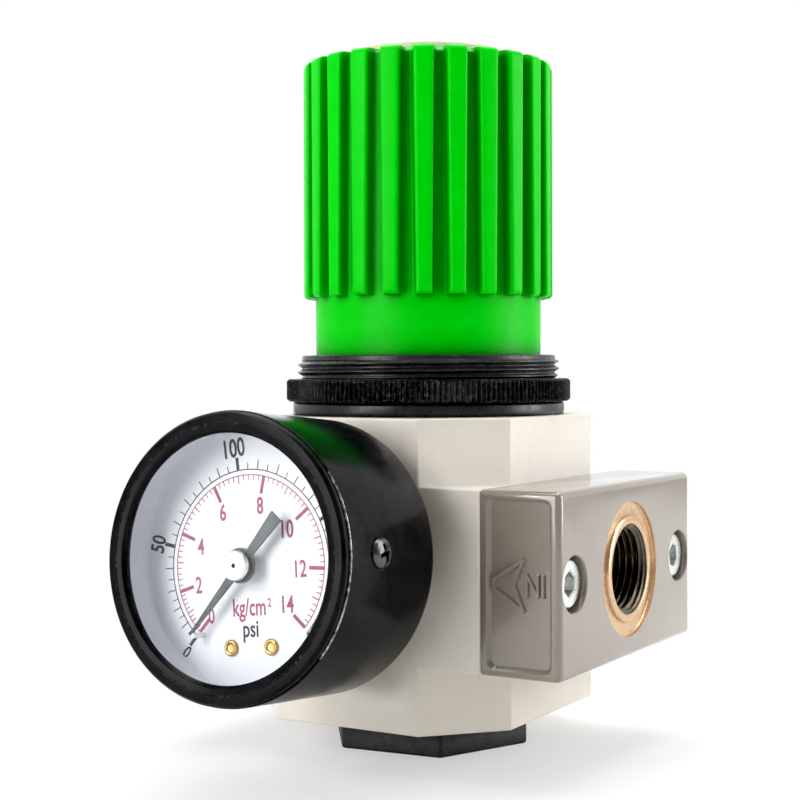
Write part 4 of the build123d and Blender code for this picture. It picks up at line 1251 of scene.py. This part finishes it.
# ------------------------------------------------------------------ CAD pieces left visible
NODES["bottom_plug"].data.materials[0] = MATERIALS["plug_black"]
for cad in NODES.values():
    if cad.hide_render:
        continue
    mesh = cad.data
    mesh.polygons.foreach_set("use_smooth", [True] * len(mesh.polygons))
    cad.modifiers.new("weld", "WELD").merge_threshold = 1e-6
    mesh.set_sharp_from_angle(angle=radians(30))

# ------------------------------------------------------------------ floor (metres)
CAMERA_AZIMUTH = 30.08   # degrees from -Y towards +X
CAMERA_DISTANCE = 0.31645
CAMERA_HEIGHT = 0.07298
CAMERA_ROLL = radians(0.16)
FORWARD = Vector((-sin(radians(CAMERA_AZIMUTH)), cos(radians(CAMERA_AZIMUTH)), 0))


def floor_material():
    """Pale floor that fades to plain white away from the object."""
    material = bpy.data.materials.new("floor")
    tree = empty_tree(material)
    node = partial(add_node, tree)
    coords = node("TexCoord").outputs["Object"]
    noise = node("TexNoise", {"Scale": 60, "Vector": coords})
    seen = node("Mix", {"A": (0.95, 0.95, 0.95, 1), "B": (0.97, 0.97, 0.965, 1),
                        "Factor": noise.outputs["Fac"]}, data_type="RGBA")
    # light bouncing off the floor meets a darker colour than the camera sees
    camera_ray = node("LightPath").outputs["Is Camera Ray"]
    base = node("Mix", {"A": (0.82, 0.82, 0.81, 1), "B": seen.outputs["Result"],
                        "Factor": camera_ray}, data_type="RGBA")
    surface = node("BsdfPrincipled", {"Roughness": 0.65, "Specular IOR Level": 0.2,
                                      "Base Color": base.outputs["Result"]})
    white = node("Emission", {"Strength": 1.0})
    distance = node("VectorMath", {0: coords}, operation="LENGTH")
    fade = node("MapRange", {"From Min": 0.03, "From Max": 0.13, "To Min": 0.45,
                             "Value": distance.outputs["Value"]},
                interpolation_type="SMOOTHSTEP")
    camera_ray = node("LightPath").outputs["Is Camera Ray"]
    amount = node("Math", {0: fade.outputs["Result"], 1: camera_ray}, operation="MULTIPLY")
    mix = node("MixShader", {0: amount.outputs[0], 1: surface.outputs[0],
                             2: white.outputs[0]})
    node("OutputMaterial", {0: mix.outputs[0]})
    return material


def build_floor():
    seg = 64
    rings = [[(0, 0, 0)]]
    for r in (0.1, 0.4, 1.5, 6.0):
        rings.append([(r * cos(TAU * i / seg), r * sin(TAU * i / seg), 0)
                      for i in range(seg)])
    bm = grid(rings)
    bmesh.ops.recalc_face_normals(bm, faces=bm.faces)
    for face in bm.faces:
        if face.normal.z < 0:
            face.normal_flip()
    mesh = bpy.data.meshes.new("floor")
    bm.to_mesh(mesh)
    bm.free()
    mesh.materials.append(floor_material())
    return add_object("floor", mesh)


build_floor()


# ------------------------------------------------------------------ lights
def around(azimuth, distance, z):
    """Point round the z axis, in degrees from -Y towards +X."""
    angle = radians(azimuth)
    return Vector((sin(angle) * distance, -cos(angle) * distance, z))


def add_light(light, place, target):
    obj = add_object(light.name, light)
    obj.location = place
    obj.rotation_mode = "QUATERNION"
    obj.rotation_quaternion = (target - place).to_track_quat("-Z", "Y")


def add_area(name, place, width, height, power):
    light = bpy.data.lights.new(name, "AREA")
    light.shape = "RECTANGLE"
    light.size = width
    light.size_y = height
    light.energy = power
    add_light(light, place, target=Vector((0, 0, 0.06)))


def add_dial_lamp():
    """Narrow lamp that lights the dial from its upper left."""
    light = bpy.data.lights.new("dial_lamp", "SPOT")
    light.energy = 1.75
    light.spot_size = radians(7.4)
    light.spot_blend = 0.30
    light.shadow_soft_size = 0.03
    target = GAUGE @ Vector((-2.5, 0, 30)) * MM
    towards_lamp = (GAUGE.to_3x3() @ Vector((-0.42, 0.42, 0.80))).normalized()
    add_light(light, target + towards_lamp * 0.5, target)


add_area("key_right", around(122, 0.85, 0.22), width=0.45, height=0.7, power=6.3)
add_area("fill_left", around(-20, 0.80, 0.30), width=0.40, height=0.7, power=5.4)
add_area("top", Vector((0.0, 0.0, 0.95)) + FORWARD * 0.25, width=0.8, height=0.8, power=9.0)
add_area("back_left", around(-140, 0.9, 0.30), width=0.45, height=0.7, power=1.0)
add_dial_lamp()


# ------------------------------------------------------------------ world
def build_world():
    """White to the camera; other rays see grey, darker on the camera's side."""
    world = bpy.data.worlds.new("World")
    bpy.context.scene.world = world
    tree = empty_tree(world)
    node = partial(add_node, tree)
    rays = node("LightPath").outputs
    coords = node("TexCoord").outputs["Generated"]
    facing = node("VectorMath", {0: coords, 1: tuple(-FORWARD)}, operation="DOT_PRODUCT")
    # far-side brightness: 1.07, less 0.65 for diffuse rays
    far_grey = node("Math", {0: rays["Is Diffuse Ray"], 1: -0.65, 2: 1.07},
                    operation="MULTIPLY_ADD")
    grey = node("MapRange", {"Value": facing.outputs["Value"], "From Min": -0.7,
                             "From Max": 0.8, "To Min": far_grey.outputs[0],
                             "To Max": 0.22}).outputs["Result"]
    colour = node("CombineColor", {k: grey for k in range(3)})
    studio = node("Background", {"Color": colour.outputs[0], "Strength": 1.0})
    white = node("Background", {"Color": (1, 1, 1, 1)})
    mix = node("MixShader", {0: rays["Is Camera Ray"], 1: studio.outputs[0],
                             2: white.outputs[0]})
    node("OutputWorld", {0: mix.outputs[0]})


# ------------------------------------------------------------------ camera and view
def build_camera():
    camera = bpy.data.cameras.new("Camera")
    obj = add_object("Camera", camera)
    obj.location = around(CAMERA_AZIMUTH, CAMERA_DISTANCE, CAMERA_HEIGHT)
    obj.rotation_mode = "QUATERNION"
    obj.rotation_quaternion = (Quaternion(FORWARD, CAMERA_ROLL)
                               @ FORWARD.to_track_quat("-Z", "Y"))
    camera.sensor_width = 36.0
    camera.sensor_fit = "HORIZONTAL"
    camera.lens = 71.316
    camera.shift_x = -0.035575
    camera.shift_y = -0.0400375
    camera.clip_start = 0.01
    camera.clip_end = 50
    bpy.context.scene.camera = obj


def set_view():
    view = bpy.context.scene.view_settings
    view.view_transform = "Standard"
    view.look = "None"
    view.use_curve_mapping = True
    view.curve_mapping.black_level = (0.006, 0.006, 0.006)
    view.curve_mapping.update()


build_world()
build_camera()
set_view()
